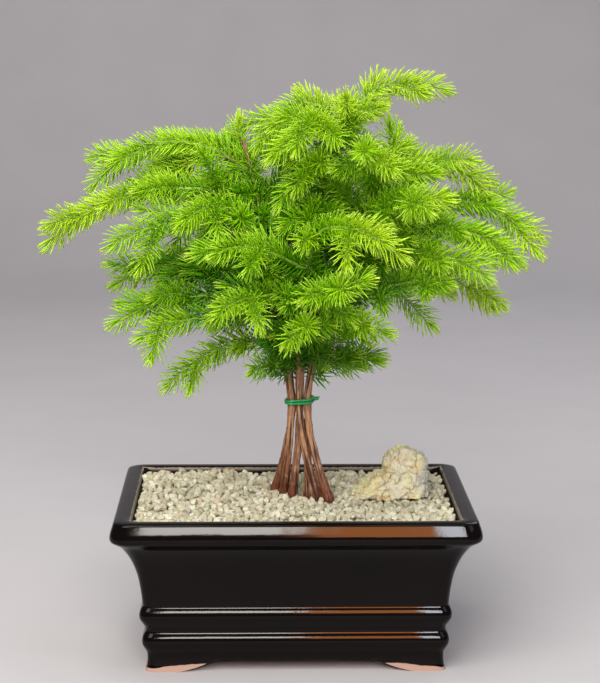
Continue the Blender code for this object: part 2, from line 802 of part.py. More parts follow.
clear_scene()
MATERIALS = {
    "pot": material("black_glaze", (0.012, 0.010, 0.010), 0.12, 1.0),
    "gravel": material("pale_gravel", (0.56, 0.52, 0.38), 0.85),
    "rock": material("cream_rock", (0.66, 0.58, 0.32), 0.8),
    "tie": material("green_plastic_wire", (0.02, 0.28, 0.10), 0.35),
    "bark": material("bark", (0.36, 0.18, 0.09), 0.8),
    "foliage": material("needles", (0.27, 0.52, 0.06), 0.5),
}
make_pot()
make_gravel()
make_rock()
STATIONS = {name: stem_stations(name) for name in STEMS}
PATHS = {name: even_steps(stations, 1.0) for name, stations in STATIONS.items()}
for stem_name in STEMS:
    make_stem(stem_name)
make_tie()
BOUGH_PATHS = {name: bough_path(name) for name in BOUGHS}
MAIN_TWIGS = {}
for bough_name, bough_row in BOUGHS.items():
    bare_length = bough_row[6]
    if bare_length:
        make_bough(bough_name)
        bare_length += CLEAR
    MAIN_TWIGS[bough_name] = even_steps(cut_path(BOUGH_PATHS[bough_name], bare_length), 1.0)
SIDES = {name: side_twigs(name) for name in BOUGHS}
TWIGS = choose_twigs()
ALL_POINTS = [(p, name) for name, twigs in TWIGS.items() for twig in twigs for p in twig]
for bough_name in BOUGHS:
    make_mass(bough_name, TWIGS[bough_name], ALL_POINTS)
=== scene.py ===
# %% [markdown]
# # A Norfolk Island pine bonsai in a black glazed pot
# Six thin stems stand in a bunch, tied with green wire, and carry one wide crown of soft needles.
# The solids are already packed as a CAD model, so this lesson dresses them: each step makes one
# piece in the place where the model says it is, in the same millimetres.

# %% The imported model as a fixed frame
import math
import random
from contextlib import contextmanager
from functools import partial

import bpy
import bmesh
from mathutils import Matrix, Vector, kdtree, noise


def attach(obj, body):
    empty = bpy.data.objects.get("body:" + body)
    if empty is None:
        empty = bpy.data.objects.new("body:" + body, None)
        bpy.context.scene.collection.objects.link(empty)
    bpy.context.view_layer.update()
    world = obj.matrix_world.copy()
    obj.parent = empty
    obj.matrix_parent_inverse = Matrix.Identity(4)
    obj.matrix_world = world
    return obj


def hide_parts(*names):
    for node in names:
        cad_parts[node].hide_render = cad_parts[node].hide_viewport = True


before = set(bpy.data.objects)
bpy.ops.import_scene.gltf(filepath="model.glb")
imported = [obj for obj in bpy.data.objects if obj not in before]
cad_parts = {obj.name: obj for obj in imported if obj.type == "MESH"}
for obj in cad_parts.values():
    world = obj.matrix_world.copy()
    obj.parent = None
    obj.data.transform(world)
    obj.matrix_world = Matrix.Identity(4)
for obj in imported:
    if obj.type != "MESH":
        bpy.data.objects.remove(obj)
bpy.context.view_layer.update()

# %% [markdown]
# ## Small tools
# Sizes are written in millimetres and colours as the hex values that a paint program shows.
# Blender wants metres and linear light, so both are translated. One function adds a node of any
# kind to a tree and serves materials and Geometry Nodes alike. What it is given for an input may
# be a value, a hex colour, a socket to link, or a whole node, whose first live output is linked.

# %% Millimetres, colours and nodes
MM = 0.001
UP = Vector((0, 0, 1))
# The nodes that come back often, by a short name, with the settings that they always have here
KINDS = {
    "noise": ("ShaderNodeTexNoise", {}), "mix": ("ShaderNodeMix", {"data_type": "RGBA"}),
    "range": ("ShaderNodeMapRange", {}), "bump": ("ShaderNodeBump", {}),
    "split": ("ShaderNodeSeparateXYZ", {}),
}
for title in ("add", "subtract", "multiply", "multiply_add", "maximum", "absolute", "sine"):
    KINDS[title] = ("ShaderNodeMath", {"operation": title.upper()})


def srgb(hex_colour):
    """Turns a hex colour into the linear numbers that shaders use."""
    parts = [int(hex_colour[k:k + 2], 16) / 255 for k in (1, 3, 5)]
    return tuple(c / 12.92 if c <= 0.04045 else ((c + 0.055) / 1.055) ** 2.4 for c in parts) + (1.0,)


def set_inputs(node, inputs):
    """Links or sets the node's inputs, by name or number."""
    for key, source in inputs.items():
        if isinstance(source, bpy.types.Node):
            source = next(socket for socket in source.outputs if socket.enabled)
        if isinstance(source, bpy.types.NodeSocket):
            node.id_data.links.new(source, node.inputs[key])
        elif isinstance(source, str) and source.startswith("#"):
            node.inputs[key].default_value = srgb(source)
        else:
            node.inputs[key].default_value = source


def add_node(tree, kind, inputs=None, **settings):
    """Adds one node: settings are its own properties, inputs go to its sockets."""
    full_name, usual = KINDS.get(kind, (kind, {}))
    node = tree.nodes.new(full_name)
    for key, value in {**usual, **settings}.items():
        setattr(node, key, value)
    set_inputs(node, inputs or {})
    return node


def new_material(name):
    """A material, its shader, a short way to add nodes to it, and its Object coordinates."""
    made = bpy.data.materials.new(name)
    made.use_nodes = True
    add = partial(add_node, made.node_tree)
    return made, made.node_tree.nodes["Principled BSDF"], add, add("ShaderNodeTexCoord").outputs["Object"]


# %% Meshes and pieces
def link(name, data):
    """A new object, in the scene."""
    made = bpy.data.objects.new(name, data)
    bpy.context.scene.collection.objects.link(made)
    return made


@contextmanager
def opened(mesh):
    """Opens a mesh for work on its parts and writes it back."""
    work = bmesh.new()
    work.from_mesh(mesh)
    yield work
    work.to_mesh(mesh)
    work.free()


def make_mesh(name, verts, faces, smooth=True):
    """A mesh from points in millimetres, its faces turned outwards."""
    mesh = bpy.data.meshes.new(name)
    mesh.from_pydata([tuple(c * MM for c in v) for v in verts], [], faces)
    with opened(mesh) as work:
        bmesh.ops.recalc_face_normals(work, faces=work.faces)
    mesh.polygons.foreach_set("use_smooth", [smooth] * len(mesh.polygons))
    return mesh


def make_piece(name, verts, faces, *materials, smooth=True):
    piece = link(name, make_mesh(name, verts, faces, smooth))
    for material in materials:
        piece.data.materials.append(material)
    return piece


def crisp(work, sharp_degrees):
    """Smooth faces that stay crisp along edges sharper than the angle."""
    for face in work.faces:
        face.smooth = True
    for edge in work.edges:
        edge.smooth = edge.calc_face_angle(0.0) < math.radians(sharp_degrees)


def soften(piece, sharp_degrees):
    with opened(piece.data) as work:
        crisp(work, sharp_degrees)


def run_modifier(piece, kind, values=(), **settings):
    """Gives the piece the mesh that a modifier makes of it, and removes the modifier."""
    modifier = piece.modifiers.new(kind, kind)
    for key, value in settings.items():
        setattr(modifier, key, value)
    for key, value in dict(values).items():
        modifier[key] = value
    graph = bpy.context.evaluated_depsgraph_get()
    mesh = bpy.data.meshes.new_from_object(piece.evaluated_get(graph), depsgraph=graph)
    piece.modifiers.remove(modifier)
    piece.data = mesh


def hand_over(piece, slot_name, *nodes):
    """The piece stands for these CAD nodes, which are hidden; the slot name is not used."""
    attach(piece, "root")
    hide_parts(*nodes)
    triangles = sum(len(p.vertices) - 2 for p in piece.data.polygons)
    print(piece.name, "has", triangles, "triangles and stands for", len(nodes), "nodes")


# %% [markdown]
# ## Camera
# The camera's place was worked out from the pot's corners in the photograph: it stands a little
# over a metre in front and looks slightly down. The lens is given for a 36 mm sensor on the
# long side of the picture.

# %% Camera
CAMERA_PLACE = Vector((-23.9, -1179.2, 385.6)) * MM
CAMERA_DOWN = 9.553
CAMERA_YAW = -1.323
CAMERA_ROLL = 0.154
LENS = 104.4
SENSOR = 36.0

camera_data = bpy.data.cameras.new("camera")
camera_data.lens = LENS
camera_data.sensor_width = SENSOR
camera_data.clip_start = 0.05
camera_data.clip_end = 30.0
camera = link("camera", camera_data)
camera_turn = (Matrix.Rotation(math.radians(CAMERA_YAW), 4, "Z")
               @ Matrix.Rotation(math.radians(90 - CAMERA_DOWN), 4, "X")
               @ Matrix.Rotation(math.radians(CAMERA_ROLL), 4, "Z"))
camera.matrix_world = Matrix.Translation(CAMERA_PLACE) @ camera_turn
bpy.context.scene.camera = camera
print("camera lens", LENS, "mm, looking", CAMERA_DOWN, "degrees down")

# %% [markdown]
# ## Floor and light
# A dark glossy pot is mostly a mirror, so its look comes from what stands round it. Three tall
# strips behind the camera, pale, warm and pale, give the long line along the lip; they show only
# as glints. A broad panel beside them lights the front without showing in the glaze. Soft panels
# above and at the sides light the crown. The plain view transform keeps the fresh yellow greens
# as bright as they are.

# %% Floor, soft panels and sky light
FLOOR_HALF = 9000
FLOOR_BACK = 1500
BACKDROP_CURVE = 900
BACKDROP_HEIGHT = 2880
BACKDROP_STEPS = 16
bpy.context.scene.view_settings.view_transform = "Standard"

floor_paint, shader, add, coords = new_material("matt_pale_floor_paint")
floor_noise = add("noise", {"Scale": 9.0, "Detail": 4.0, "Vector": coords})
set_inputs(shader, {
    "Base Color": add("mix", {0: floor_noise, 6: "#b0aeb3", 7: "#b9b7bc"}),
    "Roughness": 0.75, "Specular IOR Level": 0.25})

# A floor that curves up behind into a backdrop, like a roll of studio paper
profile = [(-FLOOR_HALF, 0.0), (FLOOR_BACK, 0.0)]
for k in range(1, BACKDROP_STEPS + 1):
    a = math.radians(90 * k / BACKDROP_STEPS)
    profile.append((FLOOR_BACK + BACKDROP_CURVE * math.sin(a), BACKDROP_CURVE * (1 - math.cos(a))))
profile.append((profile[-1][0], BACKDROP_HEIGHT))
verts = [(x, y, z) for y, z in profile for x in (-FLOOR_HALF, FLOOR_HALF)]
faces = [(2 * k, 2 * k + 1, 2 * k + 3, 2 * k + 2) for k in range(len(profile) - 1)]
make_piece("pale_floor", verts, faces, floor_paint)

# Name, place of the middle (metres), width, height, brightness, colour; all face the tree
LIT_POINT = Vector((0, 0, 0.2))
PANELS = (
    ("strip_left", (-0.126, -1.75, 0.93), 0.348, 0.50, 39.0, "#fff9f0"),
    ("strip_warm", (0.167, -1.75, 0.81), 0.238, 0.76, 30.0, "#d07c40"),
    ("strip_right", (0.370, -1.75, 0.82), 0.164, 0.74, 42.0, "#f4f6ff"),
    ("front_panel", (-0.10, -2.30, 1.35), 1.7, 1.0, 11.0, "#fff6ea"),
    ("key_panel", (-0.90, -1.25, 1.75), 1.3, 1.1, 7.0, "#fffaf2"),
    ("fill_panel", (1.30, -0.90, 1.20), 0.9, 0.9, 2.0, "#eef2ff"),
    ("panel_top", (-0.20, -0.20, 1.95), 1.2, 1.1, 4.5, "#fffdf6"),
    ("panel_back", (0.9, 1.3, 1.3), 0.9, 0.9, 2.0, "#f2f5ff"),
)
for name, place, width, height, brightness, colour in PANELS:
    light = bpy.data.lights.new(name, "AREA")
    light.shape = "RECTANGLE"
    light.size = width
    light.size_y = height
    light.energy = brightness * math.pi * width * height
    light.color = srgb(colour)[:3]
    lamp = link(name, light)
    lamp.location = place
    lamp.visible_camera = False
    lamp.visible_diffuse = not name.startswith("strip")
    lamp.visible_glossy = name != "front_panel"
    lamp.rotation_mode = "QUATERNION"
    lamp.rotation_quaternion = (LIT_POINT - Vector(place)).to_track_quat("-Z", "Y")

world = bpy.data.worlds.new("soft_room")
bpy.context.scene.world = world
world.use_nodes = True
set_inputs(world.node_tree.nodes["Background"], {"Color": "#b4b6ba", "Strength": 0.30})
print(len(PANELS), "soft panels")

# %% [markdown]
# ## Black glaze and bare clay
# The pot is stoneware dipped in a glossy black glaze, with the feet wiped clean before firing,
# so the clay shows pink under them. Glaze runs thin over edges: a worn tan line follows the
# rim's inner edge. The eye reads it as wet and deep: a near black brown under a clear, slightly
# wavy surface. Over a pale floor it would mirror too much, so its IOR is set below a real glaze's.

# %% Black glaze
RIM_LENGTH = 216.0
RIM_WIDTH = 160.0
RIM_FLAT = 12.0

black_glaze, shader, add, coords = new_material("dipped_black_glaze")
# Slow drift of the glaze's depth, patches of about 40 mm
drift = add("noise", {"Scale": 25.0, "Detail": 3.0, "Vector": coords})
deep = add("mix", {0: drift, 6: "#050304", 7: "#0f0808"})
# The rim's inner edge: how far a point lies outside that rectangle, in metres
split = add("split", {0: coords})
side_x = add("absolute", {0: split.outputs["X"]})
side_y = add("absolute", {0: split.outputs["Y"]})
out_x = add("subtract", {0: side_x, 1: (RIM_LENGTH / 2 - RIM_FLAT) * MM})
out_y = add("subtract", {0: side_y, 1: (RIM_WIDTH / 2 - RIM_FLAT) * MM})
to_edge = add("maximum", {0: out_x, 1: out_y})
# The worn line is ragged, by chips of about 2 mm
off_edge = add("absolute", {0: to_edge})
chips = add("noise", {"Scale": 420.0, "Detail": 4.0, "Vector": coords})
ragged = add("multiply_add", {0: chips, 1: 0.0016, 2: 0.0})
worn = add("subtract", {0: ragged, 1: off_edge})
worn_mask = add("range", {"Value": worn, "From Min": 0.0, "From Max": 0.0004, "To Max": 0.75})
on_top = add("range", {"Value": split.outputs["Z"], "From Min": 0.0915, "From Max": 0.0930})
worn_top = add("multiply", {0: worn_mask, 1: on_top})
thin = add("mix", {0: worn_top, 6: deep, 7: "#a29282"})
# Near the feet the wiped edge is uneven: clay below about 2 mm, and higher toward the arches
wiped = add("noise", {"Scale": 110.0, "Detail": 2.0, "Vector": coords})
wipe_line = add("multiply_add", {0: wiped, 1: 0.0022, 2: 0.0008})
toward_arch = add("range", {"Value": side_x, "From Min": 0.090, "From Max": 0.062, "To Max": 0.0028})
wipe_height = add("add", {0: wipe_line, 1: toward_arch})
below = add("subtract", {0: wipe_height, 1: split.outputs["Z"]})
clay_mask = add("range", {"Value": below, "From Min": 0.0, "From Max": 0.0003})
# Inside the rim the glaze is thin and dull with dust
dusty = add("range", {"Value": to_edge, "From Min": -0.0002, "From Max": -0.0008, "To Max": 0.75})
near_top = add("range", {"Value": split.outputs["Z"], "From Min": 0.0790, "From Max": 0.0820})
dusty_top = add("multiply", {0: dusty, 1: near_top})
dull = add("maximum", {0: dusty_top, 1: worn_top})
shade_mask = add("maximum", {0: clay_mask, 1: dull})
# The glaze settles in slow waves, with a fine skin like orange peel on top
waves = add("noise", {"Scale": 60.0, "Detail": 1.0, "Vector": coords})
peel = add("noise", {"Scale": 700.0, "Detail": 2.0, "Vector": coords})
wave_bump = add("bump", {"Height": waves, "Strength": 0.16, "Distance": 0.0007})
set_inputs(shader, {
    "Base Color": add("mix", {0: clay_mask, 6: thin, 7: "#a98b7e"}),
    "Roughness": add("range", {"Value": shade_mask, "From Max": 0.75, "To Min": 0.07, "To Max": 1.0}),
    "Normal": add("bump", {"Height": peel, "Normal": wave_bump, "Strength": 0.12, "Distance": 0.0001}),
    "IOR": 1.24})

# %% Bare clay
pink_clay, shader, add, coords = new_material("fired_pink_clay")
# Grog in the clay is about 0.5 mm; drawn at 1 mm so that it shows
grog = add("noise", {"Scale": 900.0, "Detail": 3.0, "Vector": coords})
smear = add("noise", {"Scale": 60.0, "Detail": 3.0, "Vector": coords})
clay_base = add("mix", {0: smear, 6: "#997968", 7: "#b39284"})
clay_speck = add("range", {"Value": grog, "From Min": 0.56, "From Max": 0.7, "To Max": 0.5})
set_inputs(shader, {
    "Base Color": add("mix", {0: clay_speck, 6: clay_base, 7: "#9c6650"}),
    "Roughness": 0.85,
    "Normal": add("bump", {"Height": grog, "Strength": 0.3, "Distance": 0.0003})})
print("glaze and clay mixed")

# %% [markdown]
# ## The pot
# A slip-cast pot keeps one outline all the way round: a rounded lip, a hollow curve under it and
# two round bands. So one profile is swept round a rectangle with rounded corners, ring by ring,
# and the low arches between the feet are cut out afterwards with two Boolean cutters. A smooth
# curve through the listed points gives the soft look of a glaze that has filled all the corners.

# %% Profile, rings and tubes
RIM_CORNER = 10.0
LEAST_CORNER = 3.0
FOOT_HEIGHT = 7.0
FLOOR_TOP = 17.0
# How far the outside, then the inside, stands in from the rim's edge, and the height
OUTSIDE = (
    (19.2, 0.0), (20.1, 3.0), (20.5, 7.0), (20.2, 11.0), (18.8, 13.8), (17.7, 16.2), (17.4, 18.4),
    (17.5, 19.6), (17.9, 21.2), (18.6, 22.6), (19.4, 24.2), (19.3, 26.6), (17.6, 29.6), (16.3, 32.2),
    (16.0, 34.2), (16.1, 35.3), (16.5, 37.0), (17.2, 38.5), (17.9, 39.9), (17.8, 42.0), (16.9, 50.0),
    (15.0, 60.0), (11.2, 70.0), (6.4, 77.4), (2.4, 80.6), (0.6, 82.1), (0.0, 83.7), (0.05, 85.2),
    (0.25, 86.4), (0.5, 87.4), (0.86, 88.6), (1.31, 90.0), (1.79, 91.4), (2.24, 92.6), (2.95, 93.3),
    (4.2, 93.75),
)
INSIDE = (
    (6.2, 94.0), (8.3, 93.95), (10.2, 93.7), (11.4, 93.2), (12.0, 92.5), (12.6, 91.0), (16.0, 81.0),
    (20.0, 70.0), (25.0, 48.0), (27.5, FLOOR_TOP),
)


def through(points, parts):
    """A smooth curve through the points (Catmull-Rom)."""
    pts = [Vector(p) for p in points]
    pts = [2 * pts[0] - pts[1]] + pts + [2 * pts[-1] - pts[-2]]
    out = []
    for i in range(1, len(pts) - 2):
        a, b, c, d = pts[i - 1:i + 3]
        for k in range(parts):
            t = k / parts
            out.append(0.5 * (2 * b + (c - a) * t + (2 * a - 5 * b + 4 * c - d) * t * t
                              + (3 * b - a - 3 * c + d) * t ** 3))
    return out + [pts[-2]]


def pot_ring(inset, z, per_corner=9, per_side=10):
    """A rectangle with rounded corners, so far in from the rim's edge."""
    corner = max(RIM_CORNER - 0.25 * inset, LEAST_CORNER)
    half_x, half_y = RIM_LENGTH / 2 - inset - corner, RIM_WIDTH / 2 - inset - corner

    def at(k, degrees):
        sx, sy = ((1, 1), (-1, 1), (-1, -1), (1, -1))[k % 4]
        a = math.radians(degrees)
        return Vector((sx * half_x + corner * math.cos(a), sy * half_y + corner * math.sin(a), z))

    ring = []
    for k in range(4):
        ring += [at(k, 90 * k + 90 * step / (per_corner - 1)) for step in range(per_corner)]
        start, end = ring[-1], at(k + 1, 90 * (k + 1))
        ring += [start.lerp(end, step / per_side) for step in range(1, per_side)]
    return ring


def circle(middle, u, v, radius, sides):
    """Points round a middle, in the plane of two directions."""
    turns = [math.tau * j / sides for j in range(sides)]
    return [middle + (u * math.cos(a) + v * math.sin(a)) * radius for a in turns]


def skin(rings, closed=False):
    """Faces between neighbouring rings, with a lid at each end or the last joined to the first."""
    n = len(rings[0])
    starts = [k * n for k in range(len(rings))]
    pairs = list(zip(starts, starts[1:] + starts[:1] if closed else starts[1:]))
    faces = [(a + j, a + (j + 1) % n, b + (j + 1) % n, b + j) for a, b in pairs for j in range(n)]
    if not closed:
        faces += [tuple(reversed(range(n))), tuple(range(starts[-1], starts[-1] + n))]
    return [v for ring in rings for v in ring], faces


# %% Pot with arches and drain holes
ARCH_LENGTH = 94.0
ARCH_WIDTH = 46.0
ARCH_SLOPE = 22.0
ARCH_SHOULDER = ((1.0, 0.0), (0.55, 0.34), (0.2, 0.76), (0.0, 1.0))
DRAIN_RADIUS = 8.0
DRAIN_OFFSET = 45.0
# How far the cutters reach past what they cut, and which faces look down enough to be bare clay
CUT_PAST = 3.0
FACES_DOWN = -0.15


def arch_cutter(span, reach, across):
    """A low arch with rounded shoulders, long enough to pass right through the pot."""
    outline = [Vector((-span / 2 - ARCH_SLOPE - CUT_PAST, -CUT_PAST))]
    outline += through([Vector((-span / 2 - ARCH_SLOPE * share, FOOT_HEIGHT * rise))
                        for share, rise in ARCH_SHOULDER], parts=4)
    outline += [Vector((-p.x, p.y)) for p in reversed(outline)]
    rings = [[Vector((side, p.x, p.y)) if across else Vector((p.x, side, p.y)) for p in outline]
             for side in (-reach, reach)]
    return make_piece("cutter", *skin(rings), pink_clay, smooth=False)


def drain_cutter(side):
    rings = [circle(Vector((side * DRAIN_OFFSET, 0, z)), Vector((1, 0, 0)), Vector((0, 1, 0)),
                    DRAIN_RADIUS, sides=32) for z in (FOOT_HEIGHT - CUT_PAST, FLOOR_TOP + CUT_PAST)]
    return make_piece("cutter", *skin(rings), pink_clay, smooth=False)


outline = through(OUTSIDE, parts=3) + through(INSIDE, parts=2)
pot = make_piece("pot_body", *skin([pot_ring(p.x, p.y) for p in outline]), black_glaze, pink_clay)
drains = [drain_cutter(side) for side in (-1, 1)]
arches = [arch_cutter(ARCH_LENGTH, RIM_WIDTH, False), arch_cutter(ARCH_WIDTH, RIM_LENGTH, True)]
for cutter in arches + drains:
    run_modifier(pot, "BOOLEAN", operation="DIFFERENCE", object=cutter)
    bpy.data.objects.remove(cutter, do_unlink=True)
while len(pot.data.materials) > 2:
    pot.data.materials.pop()
for face in pot.data.polygons:
    under = face.center.z < (FOOT_HEIGHT + 0.5) * MM and face.normal.z < FACES_DOWN
    face.material_index = 1 if under else 0
soften(pot, sharp_degrees=38)
hand_over(pot, "black_glaze", "pot")

# %% [markdown]
# ## Growth rule: stems and boughs
# The tree's solids follow a rule, and the fine twigs have to follow the same one to stay in
# their places: every stem passes its place in the tie and bends into the crown, every bough
# leaves its stem at a height and a heading and arches over to its tip, and side twigs leave it
# left and right in turn. The tables repeat the model's sizes, in millimetres.

# %% Sizes of stems and boughs
GRAVEL_TOP = 90.0
CLEAR = 0.3
TIE_HEIGHT = 150.0
TIE_CENTRE = (3.2, 5.6)
TIE_TURN = 15.0
TIE_SPACING = 4.7
TIE_RADIUS = 1.9
STEM_SPREAD = 1.6
# Where a stem's foot flares, in shares of its height up to the tie
STEM_FLARE = (0.0, 0.07, 0.2, 0.4, 0.65, 0.93)
# Height and radius
STEM_RADII = (
    (90.0, 3.1), (95.0, 2.75), (110.0, 2.3), (130.0, 2.0), (150.0, TIE_RADIUS), (200.0, 1.6),
    (250.0, 1.3), (325.0, 0.9),
)
# Foot x, foot y, place in the tie (row, column), then points that the stem passes above it
STEMS = {
    "left": (-11.5, 21.5, 1, -1, ((-5, 8, 185), (-14, 8, 240), (-26, 5, 290), (-31, 2, 308))),
    "left_front": (-6.0, 14.5, 0, -1, ((-7, 1, 185), (-15, -7, 215), (-25, -17, 243))),
    "front": (14.2, -2.0, 0, 0, ((2, -8, 185), (5, -24, 217), (8, -42, 243))),
    "middle": (-0.5, 7.4, 1, 0, ((7, 12, 211), (16, 14, 273), (30, 10, 308), (35, 8, 319))),
    "right": (21.5, -5.6, 0, 1, ((16, 1, 194), (34, -4, 248), (52, -6, 292))),
    "back": (8.6, 3.4, 1, 1, ((12, 20, 190), (15, 46, 252), (9, 60, 284))),
}
# Stem, height it leaves the stem (0 = the stem's top), heading, reach, height of its tip,
# rise of its arch, bare length of limb, longest side twig
BOUGHS = {
    "upper_left_arch": ("left", 292, 174, 99, 274, 23, 26, 26),
    "far_left": ("left", 270, -173, 132, 242, 22, 36, 30),
    "left_second": ("left", 254, -152, 108, 246, 13, 0, 28),
    "left_rear_high": ("left", 298, 140, 88, 276, 13, 0, 26),
    "left_top": ("left", 0, 175, 3, 327, 0, 0, 0),
    "left_front_high": ("left_front", 0, -128, 72, 260, 14, 0, 26),
    "left_behind": ("left_front", 229, 156, 104, 214, 12, 0, 30),
    "lower_left": ("left_front", 214, -174, 99, 196, 12, 30, 28),
    "lower_left_front": ("left_front", 206, -156, 92, 192, 9, 0, 18),
    "lowest_left": ("left_front", 188, -168, 75, 158, 9, 0, 16),
    "foot_left": ("left_front", 172, -122, 46, 173, 4, 0, 12),
    "front_left": ("front", 238, -142, 74, 246, 12, 0, 26),
    "front_left_low": ("front", 219, -126, 92, 214, 10, 0, 26),
    "front_low": ("front", 200, -88, 80, 208, 6, 0, 22),
    "front_foot": ("front", 184, -112, 58, 200, 4, 0, 16),
    "front_star": ("front", 226, -78, 100, 234, 6, 0, 24),
    "front_top": ("front", 0, -60, 86, 258, 6, 0, 28),
    "front_high": ("middle", 286, -108, 74, 280, 8, 0, 26),
    "front_middle": ("middle", 262, -96, 78, 256, 8, 0, 26),
    "right_star_low": ("right", 196, -74, 92, 208, 6, 0, 22),
    "right_front": ("right", 262, -66, 90, 270, 14, 0, 28),
    "right_front_high": ("right", 278, -98, 78, 302, 14, 0, 26),
    "foot_right": ("right", 171, 10, 48, 174, 6, 0, 14),
    "upper_right": ("right", 286, -3, 70, 268, 19, 0, 26),
    "right_top": ("right", 0, 20, 12, 320, 0, 0, 14),
    "far_right": ("right", 266, 5, 113, 245, 18, 34, 28),
    "right_second": ("right", 254, -14, 103, 234, 17, 30, 26),
    "right_third": ("right", 240, -34, 100, 229, 14, 0, 26),
    "right_droop": ("right", 229, 6, 98, 201, 17, 26, 24),
    "right_low": ("right", 214, -42, 94, 228, 10, 0, 24),
    "top_right_arch": ("middle", 0, -4, 61, 335, 8, 0, 20),
    "top_left_arch": ("middle", 310, -165, 58, 298, 20, 0, 26),
    "top_middle": ("middle", 314, -95, 48, 332, 8, 0, 24),
    "top_front": ("middle", 298, -108, 92, 302, 20, 0, 28),
    "top_rear": ("middle", 302, 80, 76, 308, 14, 0, 28),
    "back_top": ("back", 0, 118, 56, 306, 8, 0, 26),
    "back_right_high": ("back", 270, 40, 98, 284, 16, 24, 30),
    "back_left_high": ("back", 262, 148, 112, 262, 16, 0, 30),
    "back": ("back", 248, 92, 74, 250, 14, 0, 30),
    "back_right": ("back", 234, 18, 118, 236, 16, 0, 30),
    "back_left": ("back", 222, 140, 104, 218, 14, 0, 30),
    "back_low": ("back", 208, 84, 88, 200, 10, 0, 28),
}
BARE = {name: row[6] for name, row in BOUGHS.items() if row[6]}
LONGEST_TWIG = {name: row[7] for name, row in BOUGHS.items()}
TIP_LENGTH = 8.0
BOUGH_KNEE = 3.0
ARCH_LIFT = 1.4
NEAR_HANDLE = 0.30
FAR_HANDLE = 0.26
# Radius of a bough's wood at its tip, and what a long bough has more at its start
BOUGH_THIN = 0.85
BOUGH_THICKER = 0.75
LONG_BOUGH = 100.0
print(len(STEMS), "stems and", len(BOUGHS), "boughs")


# %% Lengths and steps along a path
def path_length(path):
    return sum((b - a).length for a, b in zip(path, path[1:]))


def even_steps(dense, step):
    """The path's points set again at even steps."""
    lengths = [0.0]
    for a, b in zip(dense, dense[1:]):
        lengths.append(lengths[-1] + (b - a).length)
    count = max(1, round(lengths[-1] / step))
    out = []
    i = 0
    for k in range(count + 1):
        want = lengths[-1] * k / count
        while i < len(dense) - 2 and lengths[i + 1] < want:
            i += 1
        span = lengths[i + 1] - lengths[i]
        t = 0.0 if span < 1e-9 else min(1.0, (want - lengths[i]) / span)
        out.append(dense[i].lerp(dense[i + 1], t))
    return out


def cut_path(path, start, end=None):
    """The part of a path between two lengths along it."""
    out = []
    run = 0.0
    for a, b in zip(path, path[1:]):
        span = (b - a).length
        if not out and run + span > start:
            out.append(a.lerp(b, (start - run) / span))
        if end is not None and run + span >= end:
            out.append(a.lerp(b, (end - run) / span))
            return out
        if out:
            out.append(b.copy())
        run += span
    return out


def tangents(path):
    return [(path[min(k + 1, len(path) - 1)] - path[max(k - 1, 0)]).normalized()
            for k in range(len(path))]


def interpolate(table, z):
    for (z0, r0), (z1, r1) in zip(table, table[1:]):
        if z <= z1:
            return r0 + (r1 - r0) * max(0.0, (z - z0) / (z1 - z0))
    return table[-1][1]


# %% Paths of stems and boughs
def tie_place(row, column):
    """Where a stem passes the tie: two rows of three."""
    turn = math.radians(TIE_TURN)
    along = TIE_SPACING * (column + (0.25 if row else -0.25))
    across = TIE_SPACING * 0.49 * (1 if row else -1)
    return (TIE_CENTRE[0] + along * math.cos(turn) - across * math.sin(turn),
            TIE_CENTRE[1] + along * math.sin(turn) + across * math.cos(turn))


def stem_path(name):
    """Straight from foot to tie, flaring at the foot, then a smooth curve into the crown."""
    foot_x, foot_y, row, column, above = STEMS[name]
    x, y = tie_place(row, column)
    foot, tie = Vector((foot_x, foot_y, GRAVEL_TOP + CLEAR)), Vector((x, y, TIE_HEIGHT))
    lower = []
    for share in STEM_FLARE:
        spread = (1 - share) ** STEM_SPREAD
        lower.append(Vector((x + (foot_x - x) * spread, y + (foot_y - y) * spread,
                             foot.z + (tie.z - foot.z) * share)))
    upper = even_steps(through([tie, *above], parts=40), 1.0)
    return even_steps(lower + even_steps(upper, 17.0), 1.0)


def bough_path(name):
    """From its stem, or the stem's top, out along the heading and over an arch to its tip."""
    stem, leave, heading, reach, tip_z, arch, bare, longest = BOUGHS[name]
    stem_line = PATHS[stem]
    ways = tangents(stem_line)
    h = math.radians(heading)
    out = Vector((math.cos(h), math.sin(h), 0.0))
    if leave:
        k = min(range(len(stem_line)), key=lambda i: abs(stem_line[i].z - leave))
        origin = stem_line[k]
        first = (out - ways[k] * out.dot(ways[k])).normalized()
        start = origin + first * (interpolate(STEM_RADII, origin.z) + CLEAR)
    else:
        origin = stem_line[-1]
        first = ways[-1]
        start = origin + first * CLEAR
    tip = Vector((origin.x + out.x * reach, origin.y + out.y * reach, tip_z))
    knee = start + first * BOUGH_KNEE
    span = (tip - knee).length
    lift = Vector((0, 0, arch * ARCH_LIFT))
    near = knee + first * (NEAR_HANDLE * span) + lift
    far = tip - (tip - knee).normalized() * (FAR_HANDLE * span) + lift
    dense = [start.lerp(knee, k / 4) for k in range(4)]
    for k in range(81):
        t = k / 80
        s = 1 - t
        dense.append(knee * s ** 3 + near * (3 * t * s * s) + far * (3 * t * t * s) + tip * t ** 3)
    return even_steps(cut_path(dense, 0.0, path_length(dense) - TIP_LENGTH), 1.0)


def bough_radius(name, run):
    """Thickness of a bough's wood at a length along it."""
    total = path_length(BOUGH_PATHS[name])
    return BOUGH_THIN + BOUGH_THICKER * (1 - run / total) * min(1.0, total / LONG_BOUGH)


